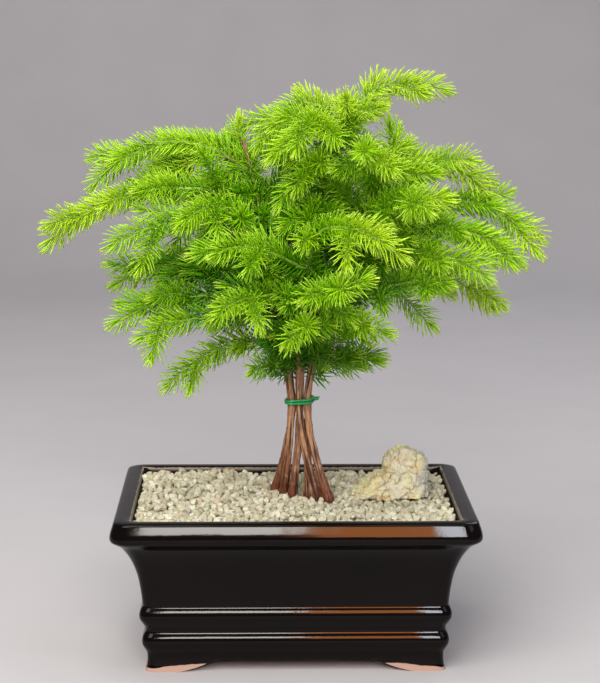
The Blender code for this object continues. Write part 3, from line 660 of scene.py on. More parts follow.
PATHS = {name: stem_path(name) for name in STEMS}
BOUGH_PATHS = {name: bough_path(name) for name in BOUGHS}
MAIN_TWIGS = {name: even_steps(cut_path(path, BARE[name] + CLEAR if name in BARE else 0.0), 1.0)
              for name, path in BOUGH_PATHS.items()}
print("stems are", round(sum(path_length(p) for p in PATHS.values())), "mm long together, boughs",
      round(sum(path_length(p) for p in BOUGH_PATHS.values())), "mm")

# %% [markdown]
# ## Pebbles
# The pot is topped with pale crushed stone of 5 to 8 mm. Scattering is what Geometry Nodes do
# best: points are spread over a low, uneven bed so that no two lie closer than a stone's width,
# one of ten stones is set on each, and its kind is picked by chance, so that the colours mix. Two
# layers with different seeds leave dark gaps between stones and none through them.

# %% Stone finishes
# Crushed limestone, tumbled: matt and dusty, so no shine; the pores show as fine specks
STONE_COLOURS = (
    ("cream", "#b4b09a", "#cac6b3"), ("khaki", "#a5a187", "#b8b49a"), ("pale", "#c8c5b0", "#d9d6c4"),
    ("pinkish", "#b5a48d", "#c3b49d"), ("grey", "#9c9989", "#afac9d"),
)
stone_materials = []
for name, low, high in STONE_COLOURS:
    stone, shader, add, coords = new_material("crushed_limestone_" + name)
    cloud = add("noise", {"Scale": 330.0, "Detail": 4.0, "Vector": coords})
    pores = add("noise", {"Scale": 1100.0, "Detail": 3.0, "Vector": coords})
    body = add("mix", {0: cloud, 6: low, 7: high})
    speck = add("range", {"Value": pores, "From Min": 0.56, "From Max": 0.68, "To Max": 0.45})
    lumps = add("bump", {"Height": cloud, "Strength": 0.8, "Distance": 0.0022})
    set_inputs(shader, {
        "Base Color": add("mix", {0: speck, 6: body, 7: "#756b50"}),
        "Roughness": 0.88,
        "Normal": add("bump", {"Height": pores, "Normal": lumps, "Strength": 0.6, "Distance": 0.0005})})
    stone_materials.append(stone)
print(len(stone_materials), "stone colours")

# %% Ten stones
STONE_POINTS = 22
GOLDEN_TURN = 2.399963


def stone_shape(name, rng):
    """A rounded lump with a few knocked corners, about 1 unit across."""
    mesh = bpy.data.meshes.new(name)
    stretch = Vector((rng.uniform(0.85, 1.25), rng.uniform(0.65, 0.95), rng.uniform(0.5, 0.8)))
    with opened(mesh) as work:
        for k in range(STONE_POINTS):
            a = GOLDEN_TURN * k + rng.uniform(-0.5, 0.5)
            z = 1 - 2 * (k + 0.5) / STONE_POINTS
            r = math.sqrt(1 - z * z)
            reach = rng.uniform(0.38, 0.56)
            place = (r * math.cos(a), r * math.sin(a), z)
            work.verts.new([c * reach * s for c, s in zip(place, stretch)])
        bmesh.ops.convex_hull(work, input=work.verts)
        bmesh.ops.delete(work, geom=[v for v in work.verts if not v.link_faces], context="VERTS")
        bmesh.ops.recalc_face_normals(work, faces=work.faces)
        crisp(work, sharp_degrees=36)
    return bpy.data.objects.new(name, mesh)


stone_rng = random.Random(4)
stones = bpy.data.collections.new("stones")
for k in range(10):
    stones.objects.link(stone_shape("stone_%d" % k, stone_rng))

# %% A tree that scatters stones
KINDS.update({
    "set_material": ("GeometryNodeSetMaterial", {}), "realize": ("GeometryNodeRealizeInstances", {}),
    "place": ("GeometryNodeInstanceOnPoints", {}), "pick": ("GeometryNodeCollectionInfo", {}),
})
for title in ("int", "float", "float_vector"):
    KINDS["random_" + title] = ("FunctionNodeRandomValue", {"data_type": title.upper()})
    KINDS["named_" + title] = ("GeometryNodeInputNamedAttribute", {"data_type": title.upper()})
ONE_BY_ONE = {"Separate Children": True, "Reset Children": True}


def open_tree(name, sockets):
    """Starts a Geometry Nodes tree; returns it, a way to add nodes to it, and its inputs."""
    tree = bpy.data.node_groups.new(name, "GeometryNodeTree")
    for title, kind in {"Geometry": "Geometry", **sockets}.items():
        tree.interface.new_socket(title, in_out="INPUT", socket_type="NodeSocket" + kind)
    tree.interface.new_socket("Geometry", in_out="OUTPUT", socket_type="NodeSocketGeometry")
    return tree, partial(add_node, tree), tree.nodes.new("NodeGroupInput").outputs


def grow(name, source, tree, values):
    """Runs the tree on a mesh and keeps the result as a plain mesh piece."""
    by_identifier = {item.identifier: values[item.name] for item in tree.interface.items_tree
                     if item.in_out == "INPUT" and item.name in values}
    run_modifier(source, "NODES", by_identifier, node_group=tree)
    source.name = source.data.name = name
    return source


scatter, add, given = open_tree("scatter_stones", {
    "Apart": "Float", "Smallest": "Float", "Largest": "Float", "Seed": "Int", "Stones": "Collection"})
points = add("GeometryNodeDistributePointsOnFaces", {
    "Mesh": given["Geometry"], "Distance Min": given["Apart"], "Density Max": 400000.0,
    "Seed": given["Seed"]}, distribute_method="POISSON")
pick = add("pick", {"Collection": given["Stones"], **ONE_BY_ONE})
which = add("random_int", {4: 0, 5: 9, "Seed": given["Seed"]})
turn = add("random_float_vector", {0: (-0.9, -0.9, 0.0), 1: (0.9, 0.9, 6.283), "Seed": given["Seed"]})
size = add("random_float", {2: given["Smallest"], 3: given["Largest"], "Seed": given["Seed"]})
placed = add("place", {"Points": points, "Instance": pick, "Pick Instance": True,
                        "Instance Index": which, "Rotation": turn, "Scale": size})
kind = add("random_int", {4: 0, 5: 99, "Seed": 77})
marked = add("GeometryNodeStoreNamedAttribute", {"Geometry": placed, "Name": "stone_kind", "Value": kind},
             data_type="INT", domain="INSTANCE")
last = add("realize", {"Geometry": marked})
read_kind = add("named_int", {"Name": "stone_kind"})
# Out of a hundred stones, how many fall below each colour's line
for stone, share in zip(stone_materials, (100, 56, 28, 8, 4)):
    chosen = add("FunctionNodeCompare", {2: read_kind, 3: share}, data_type="INT", operation="LESS_THAN")
    last = add("set_material", {"Geometry": last, "Selection": chosen, "Material": stone})
add("NodeGroupOutput", {"Geometry": last})
print("scatter tree has", len(scatter.nodes), "nodes")

# %% Stone bed
STONE_JITTER = 1.3
BED_INSET = 13.6
BED_LEVEL = 88.3
BED_STEP = 3.0
# Low swells: how close together, which slice of the noise, how high
SWELL_SCALE = 0.028
SWELL_SLICE = 1.7
SWELL_HEIGHT = 1.3
# Height, middle and spread of the mounds
MOUNDS = ((2.2, -62, 34, 1500), (1.6, 34, 44, 500))
# A bank along the back wall: height, middle, half width
BANK_HEIGHT = 1.2
BANK_MIDDLE = 62.0
BANK_WIDTH = 16.0
# The bed sinks along the walls, and is level round each stem's foot
WALL_DROP = 0.5
WALL_REACH = 4.0
LEVEL_WITHIN = 4.0
UNEVEN_AFTER = 10.0
feet = [Vector(row[:2]) for row in STEMS.values()]


def bed_height(x, y):
    """Height of the stones' bed: low swells, mounds at the back, lower along the walls."""
    swell = noise.noise(Vector((x * SWELL_SCALE, y * SWELL_SCALE, SWELL_SLICE))) * SWELL_HEIGHT
    mound = sum(h * math.exp(-((x - mx) ** 2 + (y - my) ** 2) / wide) for h, mx, my, wide in MOUNDS)
    mound += BANK_HEIGHT * math.exp(-((y - BANK_MIDDLE) / BANK_WIDTH) ** 2)
    wall = min(RIM_LENGTH / 2 - abs(x), RIM_WIDTH / 2 - abs(y)) - BED_INSET
    near_foot = min((Vector((x, y)) - foot).length for foot in feet)
    uneven = min(1.0, max(0.0, (near_foot - LEVEL_WITHIN) / UNEVEN_AFTER))
    return BED_LEVEL + uneven * (swell + mound) - WALL_DROP * math.exp(-max(wall, 0.0) / WALL_REACH)


def bed_mesh(name, drop):
    half_x, half_y = RIM_LENGTH / 2 - BED_INSET, RIM_WIDTH / 2 - BED_INSET
    nx, ny = round(2 * half_x / BED_STEP), round(2 * half_y / BED_STEP)
    jitter = random.Random(name)
    verts = []
    for j in range(ny + 1):
        for i in range(nx + 1):
            x, y = -half_x + 2 * half_x * i / nx, -half_y + 2 * half_y * j / ny
            up = jitter.uniform(-STONE_JITTER, STONE_JITTER)
            verts.append(Vector((x, y, bed_height(x, y) + up - drop)))
    corners = [j * (nx + 1) + i for j in range(ny) for i in range(nx)]
    return make_piece(name, verts, [(a, a + 1, a + nx + 2, a + nx + 1) for a in corners])


# %% Stones in two layers
# Name, bed, how far it lies below the top one, seed
for name, bed, drop, seed in (("pebbles", "bed", 0.0, 3), ("pebbles_lower", "bed_lower", 2.8, 8)):
    layer = grow(name, bed_mesh(bed, drop), scatter, {
        "Apart": 3.9 * MM, "Smallest": 4.2 * MM, "Largest": 7.4 * MM, "Seed": seed, "Stones": stones})
    hand_over(layer, "pale_gravel", "gravel_bed")

# %% Dark grit under the stones
grit, shader, add, coords = new_material("dark_grit_and_painted_shade")
# The grit is dark: partly the soil under the stones, partly painted shade that shows in the gaps between
# them
grains = add("ShaderNodeTexVoronoi", {"Scale": 700.0, "Vector": coords})
set_inputs(shader, {
    "Base Color": add("mix", {0: grains.outputs["Color"], 6: "#1d1811", 7: "#5a4f3a"}),
    "Roughness": 0.8,
    "Normal": add("bump", {"Height": grains, "Strength": 0.8, "Distance": 0.0008})})
# Inset and height of the filling's wall, from the pot's floor to just below the stones
GRIT_WALL = ((28.0, FLOOR_TOP + CLEAR), (25.5, 48.0), (20.5, 70.0), (14.9, 84.5))
filling = make_piece("grit_filling", *skin([pot_ring(inset, z, 6, 6) for inset, z in GRIT_WALL]), grit)
soften(filling, sharp_degrees=40)
hand_over(filling, "pale_gravel", "gravel_bed")

# %% [markdown]
# ## Rock
# A lump of veined stone stands in the gravel at the right. A rock keeps the flat faces that it broke
# along, so it starts as two blocks with faces cut off them by planes. A voxel remesh then gives an
# even fine skin, and layered noise moves the skin along its normals: broad hollows first, then
# broken facets, chips and grains.

# %% Veined rock finish
# Weathered quartz with iron stains: chalky, cream and yellow, grey where it is fresh
rock_finish, shader, add, coords = new_material("weathered_iron_stained_quartz")
broad = add("noise", {"Scale": 70.0, "Detail": 5.0, "Distortion": 0.6, "Vector": coords})
fine = add("noise", {"Scale": 330.0, "Detail": 6.0, "Roughness": 0.65, "Vector": coords})
cream = add("mix", {0: fine, 6: "#979371", 7: "#efecdd"})
yellow_mask = add("range", {"Value": broad, "From Min": 0.45, "From Max": 0.60, "To Max": 0.62})
yellow = add("mix", {0: yellow_mask, 6: cream, 7: "#d0cc90"})
vein = add("noise", {"Scale": 120.0, "Detail": 6.0, "Distortion": 0.3, "Vector": coords})
vein_off = add("subtract", {0: vein, 1: 0.5})
vein_abs = add("absolute", {0: vein_off})
vein_mask = add("range", {"Value": vein_abs, "From Min": 0.004, "From Max": 0.045, "To Min": 0.38,
                        "To Max": 0.0})
rusty = add("mix", {0: vein_mask, 6: yellow, 7: "#b98536"})
# Ochre spots of about 5 mm where iron has soaked in
spots = add("noise", {"Scale": 190.0, "Detail": 3.0, "Roughness": 0.6, "Vector": coords})
spot_mask = add("range", {"Value": spots, "From Min": 0.60, "From Max": 0.65, "To Max": 0.65})
spotted = add("mix", {0: spot_mask, 6: rusty, 7: "#b88a3c"})
# The right face is fresh grey stone: the line between them wanders with the broad noise
across = add("split", {0: coords})
side_line = add("multiply_add", {0: broad, 1: 0.014, 2: 0.0690})
right_of = add("subtract", {0: across, 1: side_line})
grey_mask = add("range", {"Value": right_of, "From Min": 0.0, "From Max": 0.004})
grey = add("mix", {0: fine, 6: "#56554f", 7: "#d8d6ce"})
set_inputs(shader, {
    "Base Color": add("mix", {0: grey_mask, 6: spotted, 7: grey}),
    "Roughness": 0.82,
    "Normal": add("bump", {"Height": fine, "Strength": 0.9, "Distance": 0.0014})})

# %% Rock: faces cut off two blocks
# Centre, size and the faces knocked off: heading, angle above level, distance from the middle
ROCK_BLOCKS = (
    ((68.8, 13.0), (27.0, 38.0, 31.2), (
        (180.0, 50.0, 16.8), (0.0, 24.0, 15.9), (270.0, 24.0, 12.8), (90.0, 30.0, 15.0),
        (315.0, 12.0, 17.5), (225.0, 15.0, 17.0), (45.0, 20.0, 17.5), (135.0, 20.0, 17.5),
        (300.0, 45.0, 16.0), (240.0, 42.0, 16.0), (205.0, 78.0, 17.4), (0.0, 71.0, 15.6),
    )),
    ((49.5, 8.0), (27.0, 34.0, 13.5), (
        (180.0, 58.0, 6.9), (180.0, 15.0, 12.3), (215.0, 20.0, 12.5), (150.0, 20.0, 13.0),
        (270.0, 40.0, 12.0), (240.0, 35.0, 12.5), (300.0, 30.0, 14.0), (90.0, 40.0, 12.5),
    )),
)
# The point that the faces' distances count from, as a share of the block's height
MIDDLE_SHARE = 0.38


def cut_block(centre, size, cuts):
    """A block with faces taken off it by planes, as points and faces."""
    base = GRAVEL_TOP + CLEAR
    middle = Vector((*centre, base + size[2] * MIDDLE_SHARE))
    work = bmesh.new()
    bmesh.ops.create_cube(work, size=1.0)
    for v in work.verts:
        v.co = Vector((centre[0] + v.co.x * size[0], centre[1] + v.co.y * size[1],
                       base + (v.co.z + 0.5) * size[2]))
    for heading, rise, distance in cuts:
        h, r = math.radians(heading), math.radians(rise)
        normal = Vector((math.cos(h) * math.cos(r), math.sin(h) * math.cos(r), math.sin(r)))
        cut = bmesh.ops.bisect_plane(work, geom=work.verts[:] + work.edges[:] + work.faces[:],
                                     plane_co=middle + normal * distance, plane_no=normal,
                                     clear_outer=True)
        edges = [e for e in cut["geom_cut"] if isinstance(e, bmesh.types.BMEdge)]
        if edges:
            bmesh.ops.contextual_create(work, geom=edges)
    bmesh.ops.remove_doubles(work, verts=work.verts, dist=0.05)
    work.verts.index_update()
    shell = [v.co.copy() for v in work.verts], [tuple(v.index for v in f.verts) for f in work.faces]
    work.free()
    return shell


def join_shells(parts):
    """Several (points, faces) lists as one."""
    verts, faces = [], []
    for part_verts, part_faces in parts:
        faces += [tuple(i + len(verts) for i in face) for face in part_faces]
        verts += part_verts
    return verts, faces


# %% Rock: an uneven skin
ROCK_VOXEL = 0.6
ROCK_SUNK = 1.2
# The skin may stand proud of the blocks by so much
ROCK_PROUD = 0.6
# Broken facets of about 8 mm
SHARD_SCALE = 0.12
SHARD_DEPTH = 5.0
# The toe tapers to its left end
TOE_FROM = 50.0
TOE_SLOPE = 0.3
TOE_RISE = 12.0


def hollow_depth(p):
    """How far the skin sinks at a point: hollows, cracks, ledges, grains and facets."""
    broad = noise.fractal(p * 0.075, 0.9, 2.1, 4)
    crack = abs(noise.noise(p * 0.16 + Vector((7, 3, 1))))
    ledge = p.z * 0.28 + 1.3 * broad
    ledge = abs(ledge - math.floor(ledge) - 0.5)
    grain = noise.fractal(p * 0.6, 0.8, 2.0, 3)
    cell = noise.voronoi(p * SHARD_SCALE)[1][0]
    lean = noise.cell_vector(cell * 37.0) - Vector((0.5, 0.5, 0.5))
    shard = SHARD_DEPTH * (p * SHARD_SCALE - cell).dot(lean)
    return 0.3 - 1.0 * broad + 9.0 * max(0.0, 0.12 - crack) + 0.9 * ledge + 0.6 * grain + shard


rock = make_piece("rock_stone", *join_shells([cut_block(*block) for block in ROCK_BLOCKS]), rock_finish)
run_modifier(rock, "REMESH", mode="VOXEL", voxel_size=ROCK_VOXEL * MM)
if not rock.data.materials:
    rock.data.materials.append(rock_finish)
points = [v.co / MM - v.normal * max(-ROCK_PROUD, hollow_depth(v.co / MM)) for v in rock.data.vertices]
for v, p in zip(rock.data.vertices, points):
    if p.x < TOE_FROM:
        p.z -= TOE_SLOPE * (TOE_FROM - p.x) * min(1.0, (p.z - GRAVEL_TOP) / TOE_RISE)
    v.co = p * MM
    v.co.z = max(v.co.z, (GRAVEL_TOP - ROCK_SUNK) * MM)
rock.data.update()
soften(rock, sharp_degrees=35)
hand_over(rock, "cream_rock", "rock")

# %% [markdown]
# ## Bark
# Young Norfolk Island pine has thin reddish bark that splits along the stem and peels in small
# curls, pale tan where it has rubbed and dark in the cracks. The relief is real geometry: each stem
# is a tube of many rings whose radius follows noise stretched along the stem, with small knobs
# where needles once sat. Where the relief sinks, the finish darkens the bark as painted shade.

# %% Bark finish
bark, shader, add, coords = new_material("thin_peeling_bark")
# Fibres run up the stem, so the pattern is squeezed to about 0.7 mm across and 8 mm along
stretched = add("ShaderNodeMapping", {"Scale": (1.0, 1.0, 0.12), "Vector": coords})
fibres = add("noise", {"Scale": 900.0, "Detail": 4.0, "Roughness": 0.6, "Vector": stretched})
patches = add("noise", {"Scale": 130.0, "Detail": 3.0, "Vector": coords})
split = add("split", {0: coords})
low_tone = add("mix", {0: fibres, 6: "#2c0f08", 7: "#8c5038"})
high_tone = add("mix", {0: fibres, 6: "#673f27", 7: "#d2a07a"})
up_stem = add("range", {"Value": split.outputs["Z"], "From Min": 0.096, "From Max": 0.132})
bark_tone = add("mix", {0: up_stem, 6: low_tone, 7: high_tone})
rubbed_mask = add("range", {"Value": patches, "From Min": 0.5, "From Max": 0.66, "To Max": 0.6})
rubbed = add("mix", {0: rubbed_mask, 6: bark_tone, 7: "#ba967a"})
cracks = add("range", {"Value": fibres, "From Min": 0.34, "From Max": 0.46, "To Min": 0.6, "To Max": 0.0})
# Where the relief sinks the bark is darker: painted shade in the creases, beside the cracks' own dark
# colour
hollow = add("ShaderNodeAttribute", attribute_name="hollow").outputs["Fac"]
crease_shade = add("range", {"Value": hollow, "From Min": 0.08, "From Max": 0.42, "To Max": 0.95})
cracks_and_crease_shade = add("maximum", {0: cracks, 1: crease_shade})
aged_and_shaded = add("mix", {0: cracks_and_crease_shade, 6: rubbed, 7: "#2a100a"})
# Inside the crown the wood is young and olive green, but for the left stem's rubbed top
young_from = add("range", {"Value": split.outputs["Z"], "From Min": 0.178, "From Max": 0.196})
young_to = add("range", {"Value": split.outputs["Z"], "From Min": 0.298, "From Max": 0.291})
on_limb = add("range", {"Value": split.outputs["X"], "From Min": -0.036, "From Max": -0.042})
young_above = add("maximum", {0: young_to, 1: on_limb})
young_mask = add("multiply", {0: young_from, 1: young_above})
set_inputs(shader, {
    "Base Color": add("mix", {0: young_mask, 6: aged_and_shaded, 7: "#6b8a2a"}),
    "Roughness": 0.68, "Specular IOR Level": 0.3,
    "Normal": add("bump", {"Height": fibres, "Strength": 0.7, "Distance": 0.0004})})

# %% Stems with relief
STEM_RELIEF = 0.34
LIMB_RELIEF = 0.12
# Noise round the stem, noise per millimetre along it, and share of the relief
RIDGES = (2.6, 0.030, 0.85)
KNOBS = (1.4, 0.5, 0.4)
# How deep the stems' feet stand between the stones
SUNK = 1.5


def side_of(way, least):
    """A level direction square to this one, or any where it runs nearly upright."""
    side = way.cross(UP)
    return (side if side.length >= least else way.cross(Vector((0, 1, 0)))).normalized()


def path_frames(path):
    """Directions along and square to the path at each point, without twist."""
    ways = tangents(path)
    side = side_of(ways[0], 0.2)
    out = []
    for way in ways:
        side = (side - way * side.dot(way)).normalized()
        out.append((side, way.cross(side)))
    return out


def bark_tube(name, path, radius_at, sides, relief, seed):
    """Rings round the path, moved in and out by noise stretched along it; hollows are noted for painted
    shade.
    """
    around, along, ridge_share = RIDGES
    rings, hollows = [], []
    run = 0.0
    for k, (p, (u, v)) in enumerate(zip(path, path_frames(path))):
        if k:
            run += (p - path[k - 1]).length
        r = radius_at(p, run)
        ring = []
        for j in range(sides):
            a = math.tau * j / sides
            x, y = math.cos(a), math.sin(a)
            ridge = noise.fractal(Vector((x * around, y * around, run * along + seed)), 0.8, 2.0, 3)
            knob = noise.noise(Vector((x * KNOBS[0], y * KNOBS[0], run * KNOBS[1] + seed * 3)))
            bulge = relief * (ridge_share * ridge + KNOBS[2] * knob)
            ring.append(p + (u * x + v * y) * (r * (1.0 + bulge)))
            hollows.append(-ridge)
        rings.append(ring)
    piece = make_piece(name, *skin(rings), bark)
    piece.data.attributes.new("hollow", "FLOAT", "POINT").data.foreach_set("value", hollows)
    return piece


for k, name in enumerate(STEMS):
    line = even_steps(PATHS[name], step=1.3)
    line[0] = line[0] - UP * SUNK
    stem = bark_tube("bark_of_stem_" + name, line, lambda p, run: interpolate(STEM_RADII, p.z),
                     sides=28, relief=STEM_RELIEF, seed=11.3 * k)
    hand_over(stem, "bark", "stem_" + name)

# %% [markdown]
# ## Wire tie
# Plastic-coated garden wire goes twice round the stems and is twisted shut at the right. The coat
# is moulded PVC: even green with a soft shine. The path is the outline of the bundle, so the wire
# lies on the stems; the end is two strands that wind round each other.

# %% Green wire finish
green_plastic, shader, add, coords = new_material("moulded_green_pvc")
dust = add("noise", {"Scale": 500.0, "Detail": 3.0, "Vector": coords})
set_inputs(shader, {
    "Base Color": add("mix", {0: dust, 6: "#0f7c42", 7: "#2aa060"}),
    "Roughness": add("range", {"Value": dust, "To Min": 0.25, "To Max": 0.42}),
    "IOR": 1.53})

# %% Green wire
WIRE_RADIUS = 0.82
WIRE_OUT = TIE_RADIUS + CLEAR + 1.2
LOOP_POINTS = 56
STRAND_RADIUS = 0.66
STRAND_TURNS = 1.7
WIRE_SLANT = 0.35
# Where the twisted end runs from the loop's right side
TWIST = ((-1.0, 0.0, 0.0), (1.1, -0.4, 0.2), (3.2, -1.5, 0.8))


def wire_loop(turn):
    """One turn round the outline of the stems, a little aslant."""
    centres = [Vector(tie_place(row, column)) for row, column in ((0, -1), (0, 1), (1, 1), (1, -1))]
    loop = []
    for k in range(LOOP_POINTS):
        a = math.tau * k / LOOP_POINTS
        out = Vector((math.cos(a), math.sin(a)))
        p = max(centres, key=lambda c: c.dot(out)) + out * WIRE_OUT
        lift = WIRE_SLANT * math.sin(a + turn) + turn * WIRE_RADIUS
        loop.append(Vector((p.x, p.y, TIE_HEIGHT + lift)))
    return even_steps(loop + [loop[0]], 0.8)[:-1]


shells = []
for turn in (-1, 1):
    loop = wire_loop(turn)
    rings = []
    for k, p in enumerate(loop):
        way = (loop[(k + 1) % len(loop)] - loop[k - 1]).normalized()
        side = way.cross(UP).normalized()
        rings.append(circle(p, side, side.cross(way), WIRE_RADIUS, sides=10))
    shells.append(skin(rings, closed=True))
right = max(loop, key=lambda p: p.x)
axis = through([Vector((right.x + x, right.y + y, TIE_HEIGHT + z)) for x, y, z in TWIST], parts=12)
frames = path_frames(axis)
for strand in (0, 1):
    line = []
    for k, (p, (u, v)) in enumerate(zip(axis, frames)):
        a = math.tau * (k / len(axis) * STRAND_TURNS + strand / 2)
        line.append(p + (u * math.cos(a) + v * math.sin(a)) * STRAND_RADIUS)
    shells.append(skin([circle(p, u, v, STRAND_RADIUS, sides=8)
                        for p, (u, v) in zip(line, path_frames(line))]))
hand_over(make_piece("tie_twist", *join_shells(shells), green_plastic), "green_plastic_wire", "tie_wire")

# %% [markdown]
# ## Twigs
# The model carries each bough to its first side twigs. Here the same rule grows them again, from
# the same seeds, and goes on: short shoots on the wood inside the crown, and finer twigs on the
# boughs that stand behind. Those in front stay single fronds, as the photograph shows them. A twig
# that comes near another bough's is cut short, so every bough keeps its own space.

# %% Side twigs by the model's rule
SIDE_STEP = 19.0
SIDE_FIRST = 15.0
SIDE_LAST = 13.0
SIDE_STRAY = 2.0
SIDE_ANGLE = 50.0
SIDE_SWING = 6.0
SIDE_ROLL = 42.0
SIDE_DROOP = (-0.55, -0.10)
SIDE_SHORTEST = 8.0
SIDE_SHARE = 0.62
SIDE_LEAST = 10.0
SIDE_BEND = 0.35
# On a bough shorter than this the side twigs are turned upwards by so much
SHORT_BOUGH = 30.0
SHORT_TURN = 50
TWIG_RADIUS = 1.0
TWIG_APART = 3.2
LIMB_APART = 1.6


def twig_from(parent, run, hand, roll, angle, length, bend_share, droop):
    """One twig: leaves its parent at an angle and bends toward the parent's way."""
    i = min(len(parent) - 2, max(1, round(run)))
    way = tangents(parent)[i]
    across = side_of(way, 0.3)
    up = across.cross(way)
    across = across * math.cos(roll) + up * math.sin(roll)
    start = way * math.cos(angle) + across * (hand * math.sin(angle))
    bend = way * (bend_share * length) + Vector((0, 0, droop * length))
    dense = [parent[i] + start * (length * j / 20) + bend * ((j / 20) ** 2 * 0.5) for j in range(21)]
    return even_steps(dense, 1.0)


def side_twigs(name):
    """Side twigs leave the main twig left and right in turn and shorten toward its tip."""
    rng = random.Random(name)
    total = path_length(MAIN_TWIGS[name])
    twigs = []
    if not LONGEST_TWIG[name]:
        return twigs
    hand = rng.choice((-1, 1))
    for k in range(max(0, int((total - SIDE_FIRST - SIDE_LAST) / SIDE_STEP) + 1)):
        run = SIDE_FIRST + SIDE_STEP * k + rng.uniform(-SIDE_STRAY, SIDE_STRAY)
        roll = math.radians(rng.uniform(-SIDE_ROLL, SIDE_ROLL) + (SHORT_TURN if total < SHORT_BOUGH else 0))
        angle = math.radians(SIDE_ANGLE + rng.uniform(-SIDE_SWING, SIDE_SWING))
        length = min(LONGEST_TWIG[name], SIDE_SHORTEST + SIDE_SHARE * (total - run))
        length *= rng.uniform(0.85, 1.1)
        twigs.append(twig_from(MAIN_TWIGS[name], run, hand, roll, angle, length, SIDE_BEND,
                               rng.uniform(*SIDE_DROOP)))
        hand = -hand
    return twigs


# %% Every bough keeps its own space
def search(rows):
    """A search tree over rows that start with a point, together with the rows."""
    tree = kdtree.KDTree(len(rows))
    for k, row in enumerate(rows):
        tree.insert(row[0], k)
    tree.balance()
    return tree, rows


def limb_samples():
    """Points along the stems and every bare limb, each with the radius there."""
    out = [(p, interpolate(STEM_RADII, p.z)) for path in PATHS.values() for p in path]
    for name, bare in BARE.items():
        path = cut_path(BOUGH_PATHS[name], 0.0, bare)
        out += [(p, bough_radius(name, k)) for k, p in enumerate(path)]
    return out


LIMBS = search(limb_samples())


def free_run(twig, name, finders, apart, leaving):
    """How many points of a twig stay clear of other boughs' twigs and of the limbs."""
    for k, p in enumerate(twig[3:], 3):
        for tree, rows in finders:
            if any(rows[i][1] != name for co, i, d in tree.find_range(p, apart)):
                return k
        co, i, d = LIMBS[0].find(p)
        if k >= leaving and d < LIMBS[1][i][1] + TWIG_RADIUS + LIMB_APART:
            return k
    return len(twig)


def choose_twigs(kept, offered, least, apart=TWIG_APART, leaving=3):
    """Adds the offered twigs that stay in their own bough's space, cutting short the others."""
    for turn in range(max(len(twigs) for twigs in offered.values())):
        older = search([(p, name) for name, twigs in kept.items() for twig in twigs for p in twig])
        added = []
        for name in BOUGHS:
            if turn < len(offered[name]):
                finders = [older, search(added)] if added else [older]
                twig = offered[name][turn]
                twig = twig[:free_run(twig, name, finders, apart, leaving)]
                if len(twig) >= least:
                    kept[name].append(twig)
                    added += [(p, name) for p in twig]
    return kept


def measure(twigs):
    lines = [line for lines in twigs.values() for line in lines]
    return "%d twigs, %d mm of them" % (len(lines), sum(path_length(line) for line in lines))


TWIGS = choose_twigs({name: [main] for name, main in MAIN_TWIGS.items()},
                     {name: side_twigs(name) for name in BOUGHS}, SIDE_LEAST)
MODEL_TWIGS = {name: len(twigs) for name, twigs in TWIGS.items()}
print("as in the model:", measure(TWIGS))

# %% Shoots on the wood inside the crown
CROWN_MIDDLE = Vector((0.0, 0.0, 245.0))
CROWN_REACH = Vector((150.0, 125.0, 110.0))
GOLDEN_SHARE = 0.381966
INNER_FROM = 163.0
INNER_STEP = 6.5
# Length of a shoot at the lowest wood, what it gains for each millimetre up, and the longest
INNER_LOW = 17.0
INNER_GAIN = 0.5
INNER_LONGEST = 40.0
INNER_LEAST = 9.0
INNER_REACH = 0.70
INNER_BEND = 0.3
FINE_APART = 2.3


def in_crown(p):
    """A point from the crown's middle, in shares of the crown's reach."""
    return Vector([c / reach for c, reach in zip(p - CROWN_MIDDLE, CROWN_REACH)])


def inner_wood(low, high, skip):
    """The stems between two heights, and the bare limbs after a first stretch."""
    wood = [[p for p in path if low < p.z < high] for path in PATHS.values()]
    return wood + [cut_path(BOUGH_PATHS[name], skip, bare) for name, bare in BARE.items()]


INNER_HALVES = search([(p, name) for name, path in BOUGH_PATHS.items() for p in path[:len(path) // 2]])


def owner_of(p):
    """The bough whose inner half lies nearest."""
    tree, rows = INNER_HALVES
    return rows[tree.find(p)[1]][1]


def inner_shoots():
    """Short shoots all round the stems and the bare limbs, each owned by the nearest bough."""
    rng = random.Random("inner")
    offered = {name: [] for name in BOUGHS}
    turn = 0
    for line in inner_wood(INNER_FROM, math.inf, 4.0):
        run = 2.0
        while run < len(line) - 2:
            turn += 1
            roll = math.tau * GOLDEN_SHARE * turn + rng.uniform(-0.3, 0.3)
            longest = min(INNER_LONGEST, INNER_LOW + INNER_GAIN * (line[round(run)].z - INNER_FROM))
            shoot = twig_from(line, run, 1, roll, math.radians(rng.uniform(52, 78)),
                              longest * rng.uniform(0.62, 1.0), INNER_BEND, rng.uniform(-0.5, 0.1))
            if in_crown(shoot[-1]).length < INNER_REACH:
                offered[owner_of(shoot[-1])].append(shoot)
            run += INNER_STEP * rng.uniform(0.8, 1.2)
    return offered


TWIGS = choose_twigs(TWIGS, inner_shoots(), INNER_LEAST, FINE_APART, leaving=8)
print("with inner shoots:", measure(TWIGS))

# %% Finer twigs by the same rule
FINE_STEP = 9.0
FINE_FIRST = 8.0
FINE_LAST = 10.0
FINE_ANGLE = 40
FINE_SHORTEST = 8.0
FINE_SHARE = 0.6
FINE_LEAST = 12.0
# A bough whose heading points to the front by more than this stays plain
FINE_BEHIND = -0.15
FINE_REACH = 0.74
FINE_BEND = 0.5


